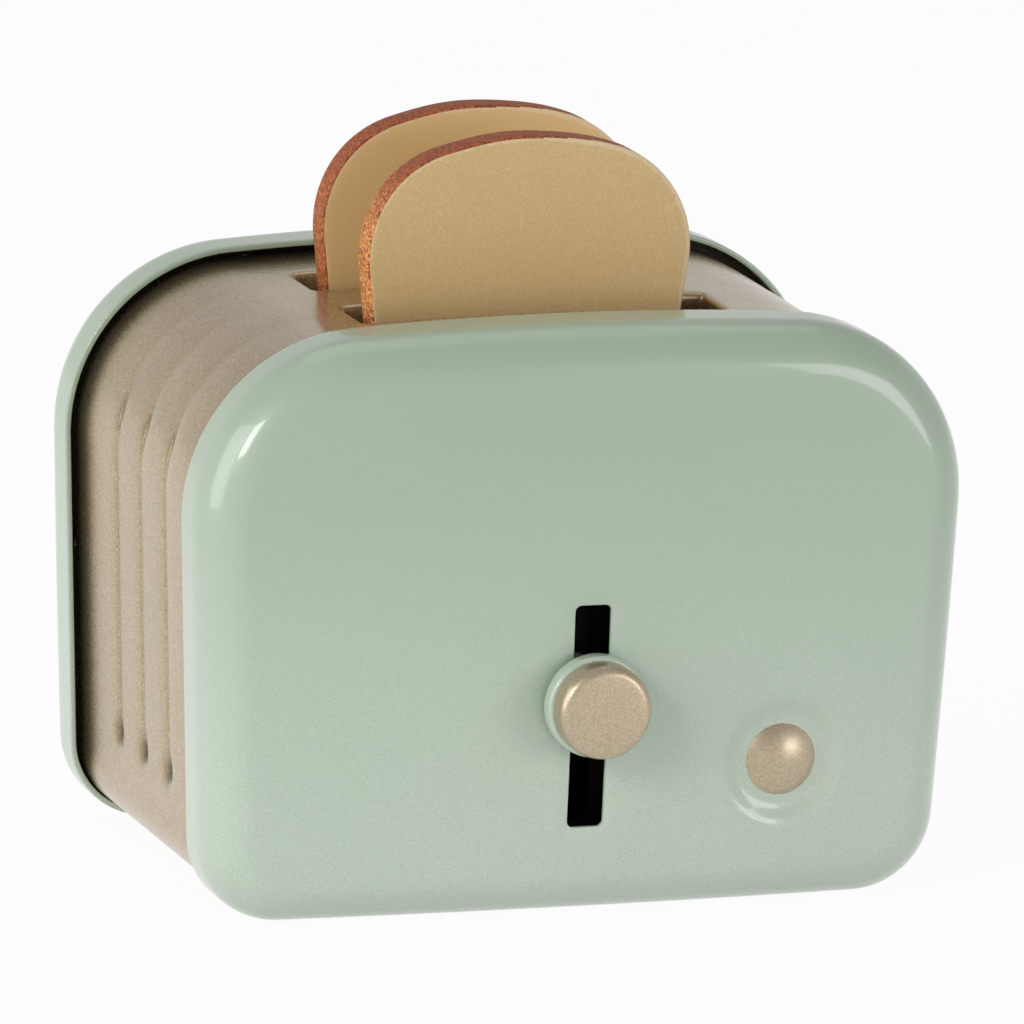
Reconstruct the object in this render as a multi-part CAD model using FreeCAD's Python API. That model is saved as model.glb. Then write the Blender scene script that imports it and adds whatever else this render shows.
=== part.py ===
import FreeCAD, Part
import math
import os

# Toy toaster in pressed tin, dolls' house scale, with two slices of toy bread.
# Millimetres, +Z up, front towards -Y, origin on the table under the middle of the toy.
# The pieces are drawn with Y = 0 midway between the covers, and set over the origin when saved.

V = FreeCAD.Vector
os.makedirs("parts", exist_ok=True)

# Cover outline, seen from the front
COVER_HEIGHT = 46.0
COVER_HALF_FOOT = 29.5
COVER_HALF_HEAD = 31.6
COVER_TOP_RADIUS = 14.0
COVER_FOOT_RADIUS = 6.5
COVER_CROWN_RADIUS = 280.0

# Covers as pressed pans
RIM_Y = 15.0
RIM_DEPTH = 6.3
DOME_RISE = 0.9
ROLL_RADIUS = 3.8
COVER_SHEET = 0.45
DOME_SPHERE = 450.0

# Body wrap
WRAP_INSET = 1.2
WRAP_SHEET = 0.35
WRAP_OPEN_HALF = 19.0
FLUTE_FIRST_Y = 6.2
FLUTE_PITCH = 6.35
FLUTE_COUNT = 4
FLUTE_RADIUS = 1.3
FLUTE_DEPTH = 0.55
FLUTE_LOW_Z = 9.0
FLUTE_HIGH_Z = 36.0

# End plates inside the covers
PLATE_SHEET = 0.4
PLATE_FIT = 0.03
PLATE_SETBACK = 2.1
TAB_WIDTH = 3.0
TAB_REACH = 1.2
TAB_FIT = 0.08

# Base plate
BASE_SHEET = 0.4
BASE_LAP = 3.0
BASE_END_GAP = 0.3
RIVET_RADIUS = 0.6
RIVET_HEAD_RADIUS = 1.1
RIVET_HEAD = 0.4

# Bread slots and the channels under them
SLOT_OFFSET_Y = 6.1
SLOT_HALF_LENGTH = 14.7
SLOT_HALF_WIDTH = 3.0
SLOT_CORNER = 0.5
LIP_DROP = 1.5
CHANNEL_FIT = 0.05
CHANNEL_SHEET = 0.3
CHANNEL_FOOT_Z = 18.0
CHANNEL_END_Z = 38.6
CHANNEL_TOP_GAP = 0.1

# Bread slices
SLICE_HEIGHT = 27.6
FRONT_SLICE_X = -1.0
REAR_SLICE_X = -0.7
SLICE_END_PLAY = 0.3
SLICE_FLARE = 3.5
SLICE_HALF_HEAD = SLOT_HALF_LENGTH - SLICE_END_PLAY
SLICE_HALF_FOOT = SLICE_HALF_HEAD - SLICE_FLARE
SLICE_TOP_RADIUS = 8.5
SLICE_FOOT_RADIUS = 2.0
SLICE_CROWN_RADIUS = 24.0
SLICE_THICKNESS = 2.4
SLICE_EDGE = 0.25
SLICE_FOOT_Z = 30.6
SLICE_SEAT_GAP = 0.02

# Trays and the bracket that lifts them
TRAY_SHEET = 0.5
TRAY_PLAY = 0.3
TRAY_LIP = 1.2
TRAY_LEG = 4.5
TRAY_LIP_HALF = 11.5
ARM_INNER_X = 17.8
ARM_SHEET = 0.5
ARM_HEIGHT = 4.6
ARM_REACH = 3.4
BRACKET_FRONT_Y = -12.0
BRACKET_TONGUE_HALF = 3.5
BRACKET_TONGUE_DROP = 3.5

# Lever slot, stem and knob
LEVER_SLOT_Z = 15.9
LEVER_SLOT_HALF = 8.75
LEVER_SLOT_WIDTH = 2.9
LEVER_SLOT_CORNER = 0.5
LEVER_REST_Z = 17.1
STEM_RADIUS = 1.1
STEM_TAIL = 0.8
STEM_FIT = 0.03
SHOE_RADIUS = 1.6
SHOE_PLAY = 0.1
SHOE_FLANGE_RADIUS = 2.6
SHOE_FLANGE = 0.5
SHOE_SIDE_PLAY = 0.08
SPRING_RADIUS = 3.2
SPRING_SHEET = 0.25
SPRING_SEAT_GAP = 0.05
SPACER_RADIUS = 1.9
CLIP_RADIUS = 2.0
CLIP_THICK = 0.5
KNOB_GAP = 0.45
SKIRT_RADIUS = 4.0
SKIRT_THICK = 1.5
SKIRT_EDGE = 0.35
CAP_RADIUS = 3.7
CAP_THICK = 2.2
CAP_EDGE = 0.8

# Pressed dish with a painted dome, right of the lever
DISH_X = 16.0
DISH_Z = 11.6
DISH_RADIUS = 4.9
DISH_DEPTH = 0.75
DISH_FLOOR_RADIUS = 3.3
BOSS_RADIUS = 2.85
BOSS_RISE = 1.05
DISH_LAND = 0.5
DISH_BACK = 3.0

# How far a cutting solid runs past what it cuts
CUT_PAST = 1.0


def save(name, shape):
    """Set one node over the origin and write it, after a check that it is made of sound solids."""
    shape = shape.removeSplitter() if len(shape.Solids) == 1 else shape
    shape.translate(V(0, -(CAP_FRONT_Y - FACE_Y) / 2, 0))
    if not shape.isValid():
        raise ValueError(name + " is not a valid shape")
    if not shape.Solids:
        raise ValueError(name + " has no solid")
    shape.exportStep("parts/" + name + ".step")
    print(name, len(shape.Solids), round(shape.Volume, 2))


def box(x0, x1, y0, y1, z0, z1):
    """Box between two corners."""
    return Part.makeBox(x1 - x0, y1 - y0, z1 - z0, V(x0, y0, z0))


def rod_y(x, z, radius, y0, y1):
    """Round bar along Y."""
    return Part.makeCylinder(radius, y1 - y0, V(x, y0, z), V(0, 1, 0))


def ring_y(x, z, outer, inner, y0, y1):
    """Washer or collar along Y."""
    return rod_y(x, z, outer, y0, y1).cut(rod_y(x, z, inner, y0 - CUT_PAST, y1 + CUT_PAST))


def mirror_front_to_rear(shape):
    """The same shape at the other end of the toy."""
    return shape.mirror(V(0, 0, 0), V(0, 1, 0))


class Outline:
    """Loaf-shaped outline: flat foot, straight sides, arched crown, round corners."""

    def __init__(self, height, half_foot, half_head, top_radius, foot_radius, crown_radius, foot_z=0.0):
        self.height = height
        self.top_radius = top_radius
        self.foot_radius = foot_radius
        self.crown_radius = crown_radius
        self.foot_z = foot_z
        length = math.hypot(half_head - half_foot, height)
        self.along = V((half_head - half_foot) / length, 0, height / length)
        self.out = V(self.along.z, 0, -self.along.x)
        self.foot = V(half_foot, 0, 0)
        self.crown_centre = V(0, 0, height - crown_radius)
        self.foot_centre = self.side_point(-foot_radius, foot_radius)
        self.top_centre = self.find_top_centre()

    def side_point(self, offset, z):
        """Point at a height on the side line moved outwards by an offset."""
        start = self.foot + self.out * offset
        return start + self.along * ((z - start.z) / self.along.z)

    def find_top_centre(self):
        """Centre of the round corner that touches both the side and the crown."""
        start = self.foot + self.out * (-self.top_radius)
        reach = self.crown_radius - self.top_radius
        gap = start - self.crown_centre
        half = gap.dot(self.along)
        root = math.sqrt(half * half - (gap.dot(gap) - reach * reach))
        return start + self.along * (root - half)

    def wire(self, inset, y):
        """Closed wire at a depth y, drawn in by an inset."""
        crown_r = self.crown_radius - inset
        top_r = self.top_radius - inset
        foot_r = self.foot_radius - inset
        lean = (self.top_centre - self.crown_centre).normalize()
        crown_end = self.crown_centre + lean * crown_r
        crown_top = self.crown_centre + V(0, 0, crown_r)
        corner_mid = self.top_centre + (lean + self.out).normalize() * top_r
        side_top = self.top_centre + self.out * top_r
        side_low = self.foot_centre + self.out * foot_r
        foot_mid = self.foot_centre + (self.out + V(0, 0, -1)).normalize() * foot_r
        foot_end = self.foot_centre + V(0, 0, -foot_r)
        half = [crown_end, corner_mid, side_top, side_low, foot_mid, foot_end]
        place = V(0, y, self.foot_z)
        right = [p + place for p in half]
        left = [V(-p.x, 0, p.z) + place for p in half]
        edges = [
            Part.Arc(left[0], crown_top + place, right[0]).toShape(),
            Part.Arc(right[0], right[1], right[2]).toShape(),
            Part.LineSegment(right[2], right[3]).toShape(),
            Part.Arc(right[3], right[4], right[5]).toShape(),
            Part.LineSegment(right[5], left[5]).toShape(),
            Part.Arc(left[5], left[4], left[3]).toShape(),
            Part.LineSegment(left[3], left[2]).toShape(),
            Part.Arc(left[2], left[1], left[0]).toShape(),
        ]
        return Part.Wire(edges)

    def prism(self, inset, y0, y1):
        """Solid of the outline between two depths."""
        return Part.Face(self.wire(inset, y0)).extrude(V(0, y1 - y0, 0))

    def crown_z(self, inset, x):
        """Height of the crown above a point."""
        return self.foot_z + self.crown_centre.z + math.sqrt((self.crown_radius - inset) ** 2 - x * x)


COVER = Outline(COVER_HEIGHT, COVER_HALF_FOOT, COVER_HALF_HEAD,
                COVER_TOP_RADIUS, COVER_FOOT_RADIUS, COVER_CROWN_RADIUS)
SLICE = Outline(SLICE_HEIGHT, SLICE_HALF_FOOT, SLICE_HALF_HEAD,
                SLICE_TOP_RADIUS, SLICE_FOOT_RADIUS, SLICE_CROWN_RADIUS, SLICE_FOOT_Z)

FACE_Y = -(RIM_Y + RIM_DEPTH + DOME_RISE)
FACE_CENTRE_Z = COVER_HEIGHT / 2
PLATE_FRONT_Y = -(RIM_Y + PLATE_SETBACK + PLATE_SHEET)
WRAP_END_Y = RIM_Y + PLATE_SETBACK
WRAP_UNDER_Z = WRAP_INSET
BASE_TOP_Z = WRAP_UNDER_Z + WRAP_SHEET + BASE_SHEET
SKIRT_BACK_Y = FACE_Y - KNOB_GAP
SKIRT_FRONT_Y = SKIRT_BACK_Y - SKIRT_THICK
CAP_FRONT_Y = SKIRT_FRONT_Y - CAP_THICK


def face_y(x, z):
    """Depth of the outside of the front face at a point."""
    flat = x * x + (z - FACE_CENTRE_Z) ** 2
    return FACE_Y + DOME_SPHERE - math.sqrt(DOME_SPHERE ** 2 - flat)


def pan_solid(inset):
    """Filled pan, drawn in by an inset on every side but its open back."""
    body = COVER.prism(inset, FACE_Y - CUT_PAST, -RIM_Y)
    ball = Part.makeSphere(DOME_SPHERE - inset, V(0, FACE_Y + DOME_SPHERE, FACE_CENTRE_Z))
    body = body.common(ball)
    front = [e for e in body.Edges if e.BoundBox.YMax < FACE_Y + DOME_RISE + RIM_DEPTH / 2]
    return body.makeFillet(ROLL_RADIUS - inset, front)


def pan():
    """Plain pressed pan in front position."""
    return pan_solid(0.0).cut(pan_solid(COVER_SHEET))


def slot_block(x, z, half_width, half_length, corner, y0, y1):
    """Upright slot with rounded corners, as a solid to cut with."""
    block = box(x - half_width, x + half_width, y0, y1, z - half_length, z + half_length)
    corners = [e for e in block.Edges if abs(e.Vertexes[0].Y - e.Vertexes[-1].Y) > (y1 - y0) / 2]
    return block.makeFillet(corner, corners)


def dish_sheet(grow):
    """Solid behind the pressed surface of the dish, for one side of the sheet."""
    rim = DISH_RADIUS + DISH_LAND
    drop = DISH_DEPTH + grow
    bulge = (BOSS_RADIUS ** 2 + BOSS_RISE ** 2) / (2 * BOSS_RISE)
    flank = math.asin(BOSS_RADIUS / bulge) / 2
    mid = V(bulge * math.sin(flank), 0, drop - BOSS_RISE + bulge * (1 - math.cos(flank)))
    top = V(0, 0, drop - BOSS_RISE)
    floor_in = V(BOSS_RADIUS, 0, drop)
    floor_out = V(DISH_FLOOR_RADIUS, 0, drop)
    step = (DISH_RADIUS - DISH_FLOOR_RADIUS) / 2
    turn = V(DISH_FLOOR_RADIUS + step, 0, grow + DISH_DEPTH / 2)
    low = V(DISH_FLOOR_RADIUS + step / 2, 0, drop - DISH_DEPTH / 8)
    high = V(DISH_RADIUS - step / 2, 0, grow + DISH_DEPTH / 8)
    shoulder = V(DISH_RADIUS, 0, grow)
    edge = V(rim, 0, grow)
    back = DISH_BACK
    edges = [
        Part.Arc(top, mid, floor_in).toShape(),
        Part.LineSegment(floor_in, floor_out).toShape(),
        Part.Arc(floor_out, low, turn).toShape(),
        Part.Arc(turn, high, shoulder).toShape(),
        Part.LineSegment(shoulder, edge).toShape(),
        Part.LineSegment(edge, V(rim, 0, back)).toShape(),
        Part.LineSegment(V(rim, 0, back), V(0, 0, back)).toShape(),
        Part.LineSegment(V(0, 0, back), top).toShape(),
    ]
    return Part.Face(Part.Wire(edges)).revolve(V(0, 0, 0), V(0, 0, 1), 360)


def place_on_face(shape, x, z):
    """Turn a shape drawn about Z so that it looks out of the front face at a point."""
    y = face_y(x, z)
    inward = V(-x, FACE_Y + DOME_SPHERE - y, FACE_CENTRE_Z - z).normalize()
    turned = shape.copy()
    turned.Placement = FreeCAD.Placement(V(x, y, z), FreeCAD.Rotation(V(0, 0, 1), inward))
    return turned


def front_cover():
    """Front pan with the lever slot and the dish."""
    cover = pan()
    cover = cover.cut(slot_block(0, LEVER_SLOT_Z, LEVER_SLOT_WIDTH / 2, LEVER_SLOT_HALF,
                                 LEVER_SLOT_CORNER, FACE_Y - CUT_PAST, -RIM_Y))
    plug = Part.makeCylinder(DISH_RADIUS + DISH_LAND / 2, 2 * DISH_BACK, V(0, 0, -DISH_BACK), V(0, 0, 1))
    cover = cover.cut(place_on_face(plug, DISH_X, DISH_Z))
    dish = dish_sheet(0.0).cut(dish_sheet(COVER_SHEET))
    return cover.fuse(place_on_face(dish, DISH_X, DISH_Z))


def tab_places():
    """Where the wrap is tabbed to the end plates: x, z and the way the tab lies."""
    z_top = COVER.crown_z(WRAP_INSET, COVER_HALF_FOOT / 2) - WRAP_SHEET / 2
    side = COVER.side_point(-WRAP_INSET - WRAP_SHEET / 2, COVER_HEIGHT / 2)
    flat = [(sign * COVER_HALF_FOOT / 2, z_top, 0) for sign in (-1, 1)]
    return flat + [(sign * side.x, side.z, 1) for sign in (-1, 1)]


def tab_block(x, z, upright, grow, y0, y1):
    """One tab, or with a growth the hole that it goes through."""
    long_half = TAB_WIDTH / 2 + grow
    thin_half = WRAP_SHEET / 2 - WRAP_SHEET / 10 + grow
    if upright:
        return box(x - thin_half, x + thin_half, y0, y1, z - long_half, z + long_half)
    return box(x - long_half, x + long_half, y0, y1, z - thin_half, z + thin_half)


def flute_bars(grow, extra):
    """Bars that press the upright flutes into both sides of the wrap."""
    bars = []
    offset = -WRAP_INSET - FLUTE_DEPTH + FLUTE_RADIUS
    low = COVER.side_point(offset, FLUTE_LOW_Z)
    high = COVER.side_point(offset, FLUTE_HIGH_Z)
    for index in range(FLUTE_COUNT):
        y = FLUTE_FIRST_Y - index * FLUTE_PITCH
        for sign in (-1, 1):
            start = V(sign * low.x, y, low.z)
            end = V(sign * high.x, y, high.z)
            way = end - start
            radius = FLUTE_RADIUS + grow
            bars.append(Part.makeCylinder(radius, way.Length + extra, start, way))
            bars.append(Part.makeSphere(radius, start))
    return bars


def slot_prism(centre_y, grow, z0, z1):
    """Upright block over one bread slot, with its corners rounded."""
    block = box(-SLOT_HALF_LENGTH - grow, SLOT_HALF_LENGTH + grow,
                centre_y - SLOT_HALF_WIDTH - grow, centre_y + SLOT_HALF_WIDTH + grow, z0, z1)
    corners = [e for e in block.Edges if abs(e.Vertexes[0].Z - e.Vertexes[-1].Z) > (z1 - z0) / 2]
    return block.makeFillet(SLOT_CORNER + grow, corners)


def body_wrap():
    """Sheet that runs round the toy, with bread slots, flutes and tabs."""
    outer = COVER.prism(WRAP_INSET, -WRAP_END_Y, WRAP_END_Y)
    inner = COVER.prism(WRAP_INSET + WRAP_SHEET, -WRAP_END_Y - CUT_PAST, WRAP_END_Y + CUT_PAST)
    wrap = outer.cut(inner)
    pressed = [bar.common(outer) for bar in flute_bars(WRAP_SHEET, 0)]
    wrap = wrap.fuse([shape for shape in pressed if shape.Solids])
    wrap = wrap.cut(flute_bars(0, 1.0))
    lip_low = COVER.crown_z(WRAP_INSET + WRAP_SHEET, SLOT_HALF_LENGTH) - LIP_DROP
    for y in (-SLOT_OFFSET_Y, SLOT_OFFSET_Y):
        lip = slot_prism(y, WRAP_SHEET, lip_low, COVER_HEIGHT)
        wrap = wrap.fuse(lip.common(outer))
        wrap = wrap.cut(slot_prism(y, 0, lip_low - 1, COVER_HEIGHT + 1))
    wrap = wrap.cut(box(-WRAP_OPEN_HALF, WRAP_OPEN_HALF, -WRAP_END_Y - 1, WRAP_END_Y + 1,
                        0, WRAP_UNDER_Z + 2 * WRAP_SHEET))
    wrap = wrap.cut(base_rivet_holes())
    reach = WRAP_END_Y + PLATE_SHEET + TAB_REACH
    tabs = []
    for x, z, upright in tab_places():
        tabs.append(tab_block(x, z, upright, 0, -reach, -WRAP_END_Y + WRAP_SHEET))
        tabs.append(tab_block(x, z, upright, 0, WRAP_END_Y - WRAP_SHEET, reach))
    return wrap.fuse(tabs)


def end_plate():
    """Plate pressed into the front cover, which the wrap is tabbed to."""
    back = PLATE_FRONT_Y + PLATE_SHEET
    plate = COVER.prism(COVER_SHEET + PLATE_FIT, PLATE_FRONT_Y, back)
    for x, z, upright in tab_places():
        plate = plate.cut(tab_block(x, z, upright, TAB_FIT, PLATE_FRONT_Y - 1, back + 1))
    return plate


def front_end_plate():
    """End plate with the slot that guides the lever."""
    half_width = SHOE_RADIUS + SHOE_PLAY
    half_length = LEVER_SLOT_HALF - STEM_RADIUS + SHOE_RADIUS + SHOE_PLAY
    window = slot_block(0, LEVER_SLOT_Z, half_width, half_length, half_width * 0.9,
                        PLATE_FRONT_Y - 1, PLATE_FRONT_Y + 1)
    return end_plate().cut(window)


def base_rivet_places():
    """Rivets through the laps of the base plate."""
    x = WRAP_OPEN_HALF + BASE_LAP / 2
    y = WRAP_END_Y - 2 * BASE_LAP
    return [(sx * x, sy * y) for sx in (-1, 1) for sy in (-1, 1)]


def base_rivet_holes():
    """Bores for the rivets, through the wrap and the base plate."""
    low = WRAP_UNDER_Z - BASE_SHEET
    length = BASE_TOP_Z + BASE_SHEET - low
    return [Part.makeCylinder(RIVET_RADIUS, length, V(x, y, low)) for x, y in base_rivet_places()]


def base_plate():
    """Plate that closes the foot of the wrap."""
    half = WRAP_OPEN_HALF + BASE_LAP
    end = WRAP_END_Y - BASE_END_GAP
    low = WRAP_UNDER_Z + WRAP_SHEET
    plate = box(-half, half, -end, end, low, BASE_TOP_Z)
    return plate.cut(base_rivet_holes())


def base_rivets():
    """Four rivets with a flat head above and below."""
    low = WRAP_UNDER_Z - RIVET_HEAD
    rivets = []
    for x, y in base_rivet_places():
        shank = Part.makeCylinder(RIVET_RADIUS, BASE_TOP_Z + RIVET_HEAD - low, V(x, y, low))
        under = Part.makeCylinder(RIVET_HEAD_RADIUS, RIVET_HEAD, V(x, y, low))
        over = Part.makeCylinder(RIVET_HEAD_RADIUS, RIVET_HEAD, V(x, y, BASE_TOP_Z))
        rivets.append(shank.fuse([under, over]))
    return rivets


def bread_channel(centre_y):
    """Tin channel hung from the lips of one slot, open below for the tray."""
    grow = WRAP_SHEET + CHANNEL_FIT
    end = SLOT_HALF_LENGTH + grow + CHANNEL_SHEET
    top = COVER.crown_z(WRAP_INSET + WRAP_SHEET, end) - CHANNEL_TOP_GAP
    outer = slot_prism(centre_y, grow + CHANNEL_SHEET, CHANNEL_FOOT_Z, top)
    channel = outer.cut(slot_prism(centre_y, grow, CHANNEL_FOOT_Z - 1, top + 1))
    straight = SLOT_HALF_LENGTH - SLOT_CORNER
    half = SLOT_HALF_WIDTH + grow + 2 * CHANNEL_SHEET
    for sign in (-1, 1):
        near = sorted((sign * straight, sign * (straight + half)))
        channel = channel.cut(box(near[0], near[1], centre_y - half, centre_y + half,
                                  CHANNEL_FOOT_Z - 1, CHANNEL_END_Z))
    return channel


def bread_slice(centre_x, centre_y):
    """One slice with a softened edge."""
    half = SLICE_THICKNESS / 2
    body = SLICE.prism(0, centre_y - half, centre_y + half)
    body.translate(V(centre_x, 0, SLICE_SEAT_GAP))
    rims = [e for e in body.Edges if abs(e.BoundBox.YMax - e.BoundBox.YMin) < half / 2]
    return body.makeFillet(SLICE_EDGE, rims)


def arm_top_z():
    """Top of the arms that the trays hang on."""
    return SLICE_FOOT_Z - TRAY_SHEET


def bread_tray(centre_y):
    """Trough under one slice, with a leg at each end."""
    half = SLICE_THICKNESS / 2 + TRAY_PLAY
    top = SLICE_FOOT_Z
    floor = box(-ARM_INNER_X, ARM_INNER_X, centre_y - half, centre_y + half, top - TRAY_SHEET, top)
    pieces = []
    for sign in (-1, 1):
        x0, x1 = sorted((sign * ARM_INNER_X, sign * (ARM_INNER_X - TRAY_SHEET)))
        pieces.append(box(x0, x1, centre_y - half, centre_y + half, top - TRAY_SHEET - TRAY_LEG, top))
        y0, y1 = sorted((centre_y + sign * half, centre_y + sign * (half + TRAY_SHEET)))
        pieces.append(box(-TRAY_LIP_HALF, TRAY_LIP_HALF, y0, y1, top - TRAY_SHEET, top + TRAY_LIP))
    tray = floor.fuse(pieces)
    return tray.cut(tray_rivet_holes())


def tray_rivet_places():
    """Rivets through the tray legs and the arms of the bracket."""
    z = arm_top_z() - ARM_HEIGHT / 2
    x = ARM_INNER_X
    return [(sx * x, sy * SLOT_OFFSET_Y, z) for sx in (-1, 1) for sy in (-1, 1)]


def tray_rivet_holes():
    """Bores for those rivets, through the legs and the arms."""
    reach = TRAY_SHEET + ARM_SHEET
    return [Part.makeCylinder(RIVET_RADIUS, 2 * reach, V(x - reach, y, z), V(1, 0, 0))
            for x, y, z in tray_rivet_places()]


def tray_rivets():
    """One rivet at each end of each tray."""
    rivets = []
    for x, y, z in tray_rivet_places():
        out = math.copysign(1, x)
        inner = x - out * (TRAY_SHEET + RIVET_HEAD)
        outer = x + out * (ARM_SHEET + RIVET_HEAD)
        way = V(out, 0, 0)
        shank = Part.makeCylinder(RIVET_RADIUS, abs(outer - inner), V(inner, y, z), way)
        near = Part.makeCylinder(RIVET_HEAD_RADIUS, RIVET_HEAD, V(inner, y, z), way)
        far = Part.makeCylinder(RIVET_HEAD_RADIUS, RIVET_HEAD, V(outer, y, z), -way)
        rivets.append(shank.fuse([near, far]))
    return rivets


def carriage_bracket():
    """Bent strip: a tongue on the stem, a cross bar and an arm along each side."""
    top = arm_top_z()
    low = top - ARM_HEIGHT
    out = ARM_INNER_X + ARM_SHEET
    back = BRACKET_FRONT_Y + ARM_SHEET
    bar = box(-out, out, BRACKET_FRONT_Y, back, low, top)
    tongue = box(-BRACKET_TONGUE_HALF, BRACKET_TONGUE_HALF, BRACKET_FRONT_Y, back,
                 LEVER_REST_Z - BRACKET_TONGUE_DROP, top)
    end = SLOT_OFFSET_Y + ARM_REACH
    arms = [box(min(sign * ARM_INNER_X, sign * out), max(sign * ARM_INNER_X, sign * out),
                BRACKET_FRONT_Y, end, low, top) for sign in (-1, 1)]
    bracket = bar.fuse([tongue] + arms)
    bracket = bracket.cut(rod_y(0, LEVER_REST_Z, STEM_RADIUS + STEM_FIT, BRACKET_FRONT_Y - 1, back + 1))
    return bracket.cut(tray_rivet_holes())


def shoe_front_y():
    """Front of the shoe, ahead of the end plate by its flange."""
    return PLATE_FRONT_Y - SHOE_SIDE_PLAY - SHOE_FLANGE


def guide_shoe():
    """Flanged shoe that runs in the slot of the end plate."""
    back = PLATE_FRONT_Y + PLATE_SHEET + SHOE_SIDE_PLAY
    hub = rod_y(0, LEVER_REST_Z, SHOE_RADIUS, shoe_front_y(), back + SHOE_FLANGE)
    front = rod_y(0, LEVER_REST_Z, SHOE_FLANGE_RADIUS, shoe_front_y(), shoe_front_y() + SHOE_FLANGE)
    rear = rod_y(0, LEVER_REST_Z, SHOE_FLANGE_RADIUS, back, back + SHOE_FLANGE)
    shoe = hub.fuse([front, rear])
    bore = STEM_RADIUS + STEM_FIT
    return shoe.cut(rod_y(0, LEVER_REST_Z, bore, shoe_front_y() - CUT_PAST, back + 2 * CUT_PAST))


def friction_spring():
    """Dished washer behind the front face, clear of its curve down to the foot of the travel."""
    lowest = LEVER_SLOT_Z - LEVER_SLOT_HALF + STEM_RADIUS - SPRING_RADIUS
    rim = face_y(SPRING_RADIUS, lowest) + COVER_SHEET + SPRING_SEAT_GAP
    seat = shoe_front_y()
    bore = STEM_RADIUS + STEM_FIT
    place = V(0, rim, LEVER_REST_Z)
    way = V(0, 1, 0)
    outer = Part.makeCone(SPRING_RADIUS, bore + SPRING_SHEET, seat - rim, place, way)
    inner = Part.makeCone(SPRING_RADIUS - SPRING_SHEET, bore, seat - rim, place, way)
    return outer.cut(inner)


def lever_stem():
    """Pin from the knob to the bracket."""
    tail = BRACKET_FRONT_Y + ARM_SHEET + STEM_TAIL
    return rod_y(0, LEVER_REST_Z, STEM_RADIUS, SKIRT_FRONT_Y - CAP_THICK / 2, tail)


def stem_spacer():
    """Sleeve that holds the bracket off the shoe."""
    start = PLATE_FRONT_Y + PLATE_SHEET + SHOE_SIDE_PLAY + SHOE_FLANGE
    return ring_y(0, LEVER_REST_Z, SPACER_RADIUS, STEM_RADIUS + STEM_FIT, start, BRACKET_FRONT_Y)


def stem_clip():
    """Clip that keeps the bracket on the tail of the stem."""
    start = BRACKET_FRONT_Y + ARM_SHEET
    clip = ring_y(0, LEVER_REST_Z, CLIP_RADIUS, STEM_RADIUS, start, start + CLIP_THICK)
    mouth = STEM_RADIUS * 0.7
    return clip.cut(box(-mouth, mouth, start - 1, start + 1, LEVER_REST_Z - CLIP_RADIUS - 1, LEVER_REST_Z))


def knob_skirt():
    """Painted flange behind the knob face."""
    disc = rod_y(0, LEVER_REST_Z, SKIRT_RADIUS, SKIRT_FRONT_Y, SKIRT_BACK_Y)
    disc = disc.makeFillet(SKIRT_EDGE, disc.Edges[:1] + disc.Edges[2:])
    return disc.cut(rod_y(0, LEVER_REST_Z, STEM_RADIUS, SKIRT_FRONT_Y - 1, SKIRT_BACK_Y + 1))


def knob_cap():
    """Round face of the knob."""
    disc = rod_y(0, LEVER_REST_Z, CAP_RADIUS, CAP_FRONT_Y, SKIRT_FRONT_Y)
    front = [e for e in disc.Edges if e.BoundBox.YMax < CAP_FRONT_Y + CAP_THICK / 2]
    disc = disc.makeFillet(CAP_EDGE, front)
    return disc.cut(rod_y(0, LEVER_REST_Z, STEM_RADIUS, CAP_FRONT_Y + CAP_THICK / 2, SKIRT_FRONT_Y + 1))


save("front_cover", front_cover())
save("rear_cover", mirror_front_to_rear(pan()))
save("body_wrap", body_wrap())
save("front_end_plate", front_end_plate())
save("rear_end_plate", mirror_front_to_rear(end_plate()))
save("base_plate", base_plate())
save("base_rivets", Part.makeCompound(base_rivets()))
save("front_bread_channel", bread_channel(-SLOT_OFFSET_Y))
save("rear_bread_channel", bread_channel(SLOT_OFFSET_Y))
save("carriage_bracket", carriage_bracket())
save("front_bread_tray", bread_tray(-SLOT_OFFSET_Y))
save("rear_bread_tray", bread_tray(SLOT_OFFSET_Y))
save("tray_rivets", Part.makeCompound(tray_rivets()))
save("guide_shoe", guide_shoe())
save("friction_spring", friction_spring())
save("lever_stem", lever_stem())
save("stem_spacer", stem_spacer())
save("stem_clip", stem_clip())
save("knob_skirt", knob_skirt())
save("knob_cap", knob_cap())
save("front_slice", bread_slice(FRONT_SLICE_X, -SLOT_OFFSET_Y))
save("rear_slice", bread_slice(REAR_SLICE_X, SLOT_OFFSET_Y))
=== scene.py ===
import math

import bmesh
import bpy
import numpy as np
from mathutils import Matrix, Vector
from mathutils.geometry import delaunay_2d_cdt

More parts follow.
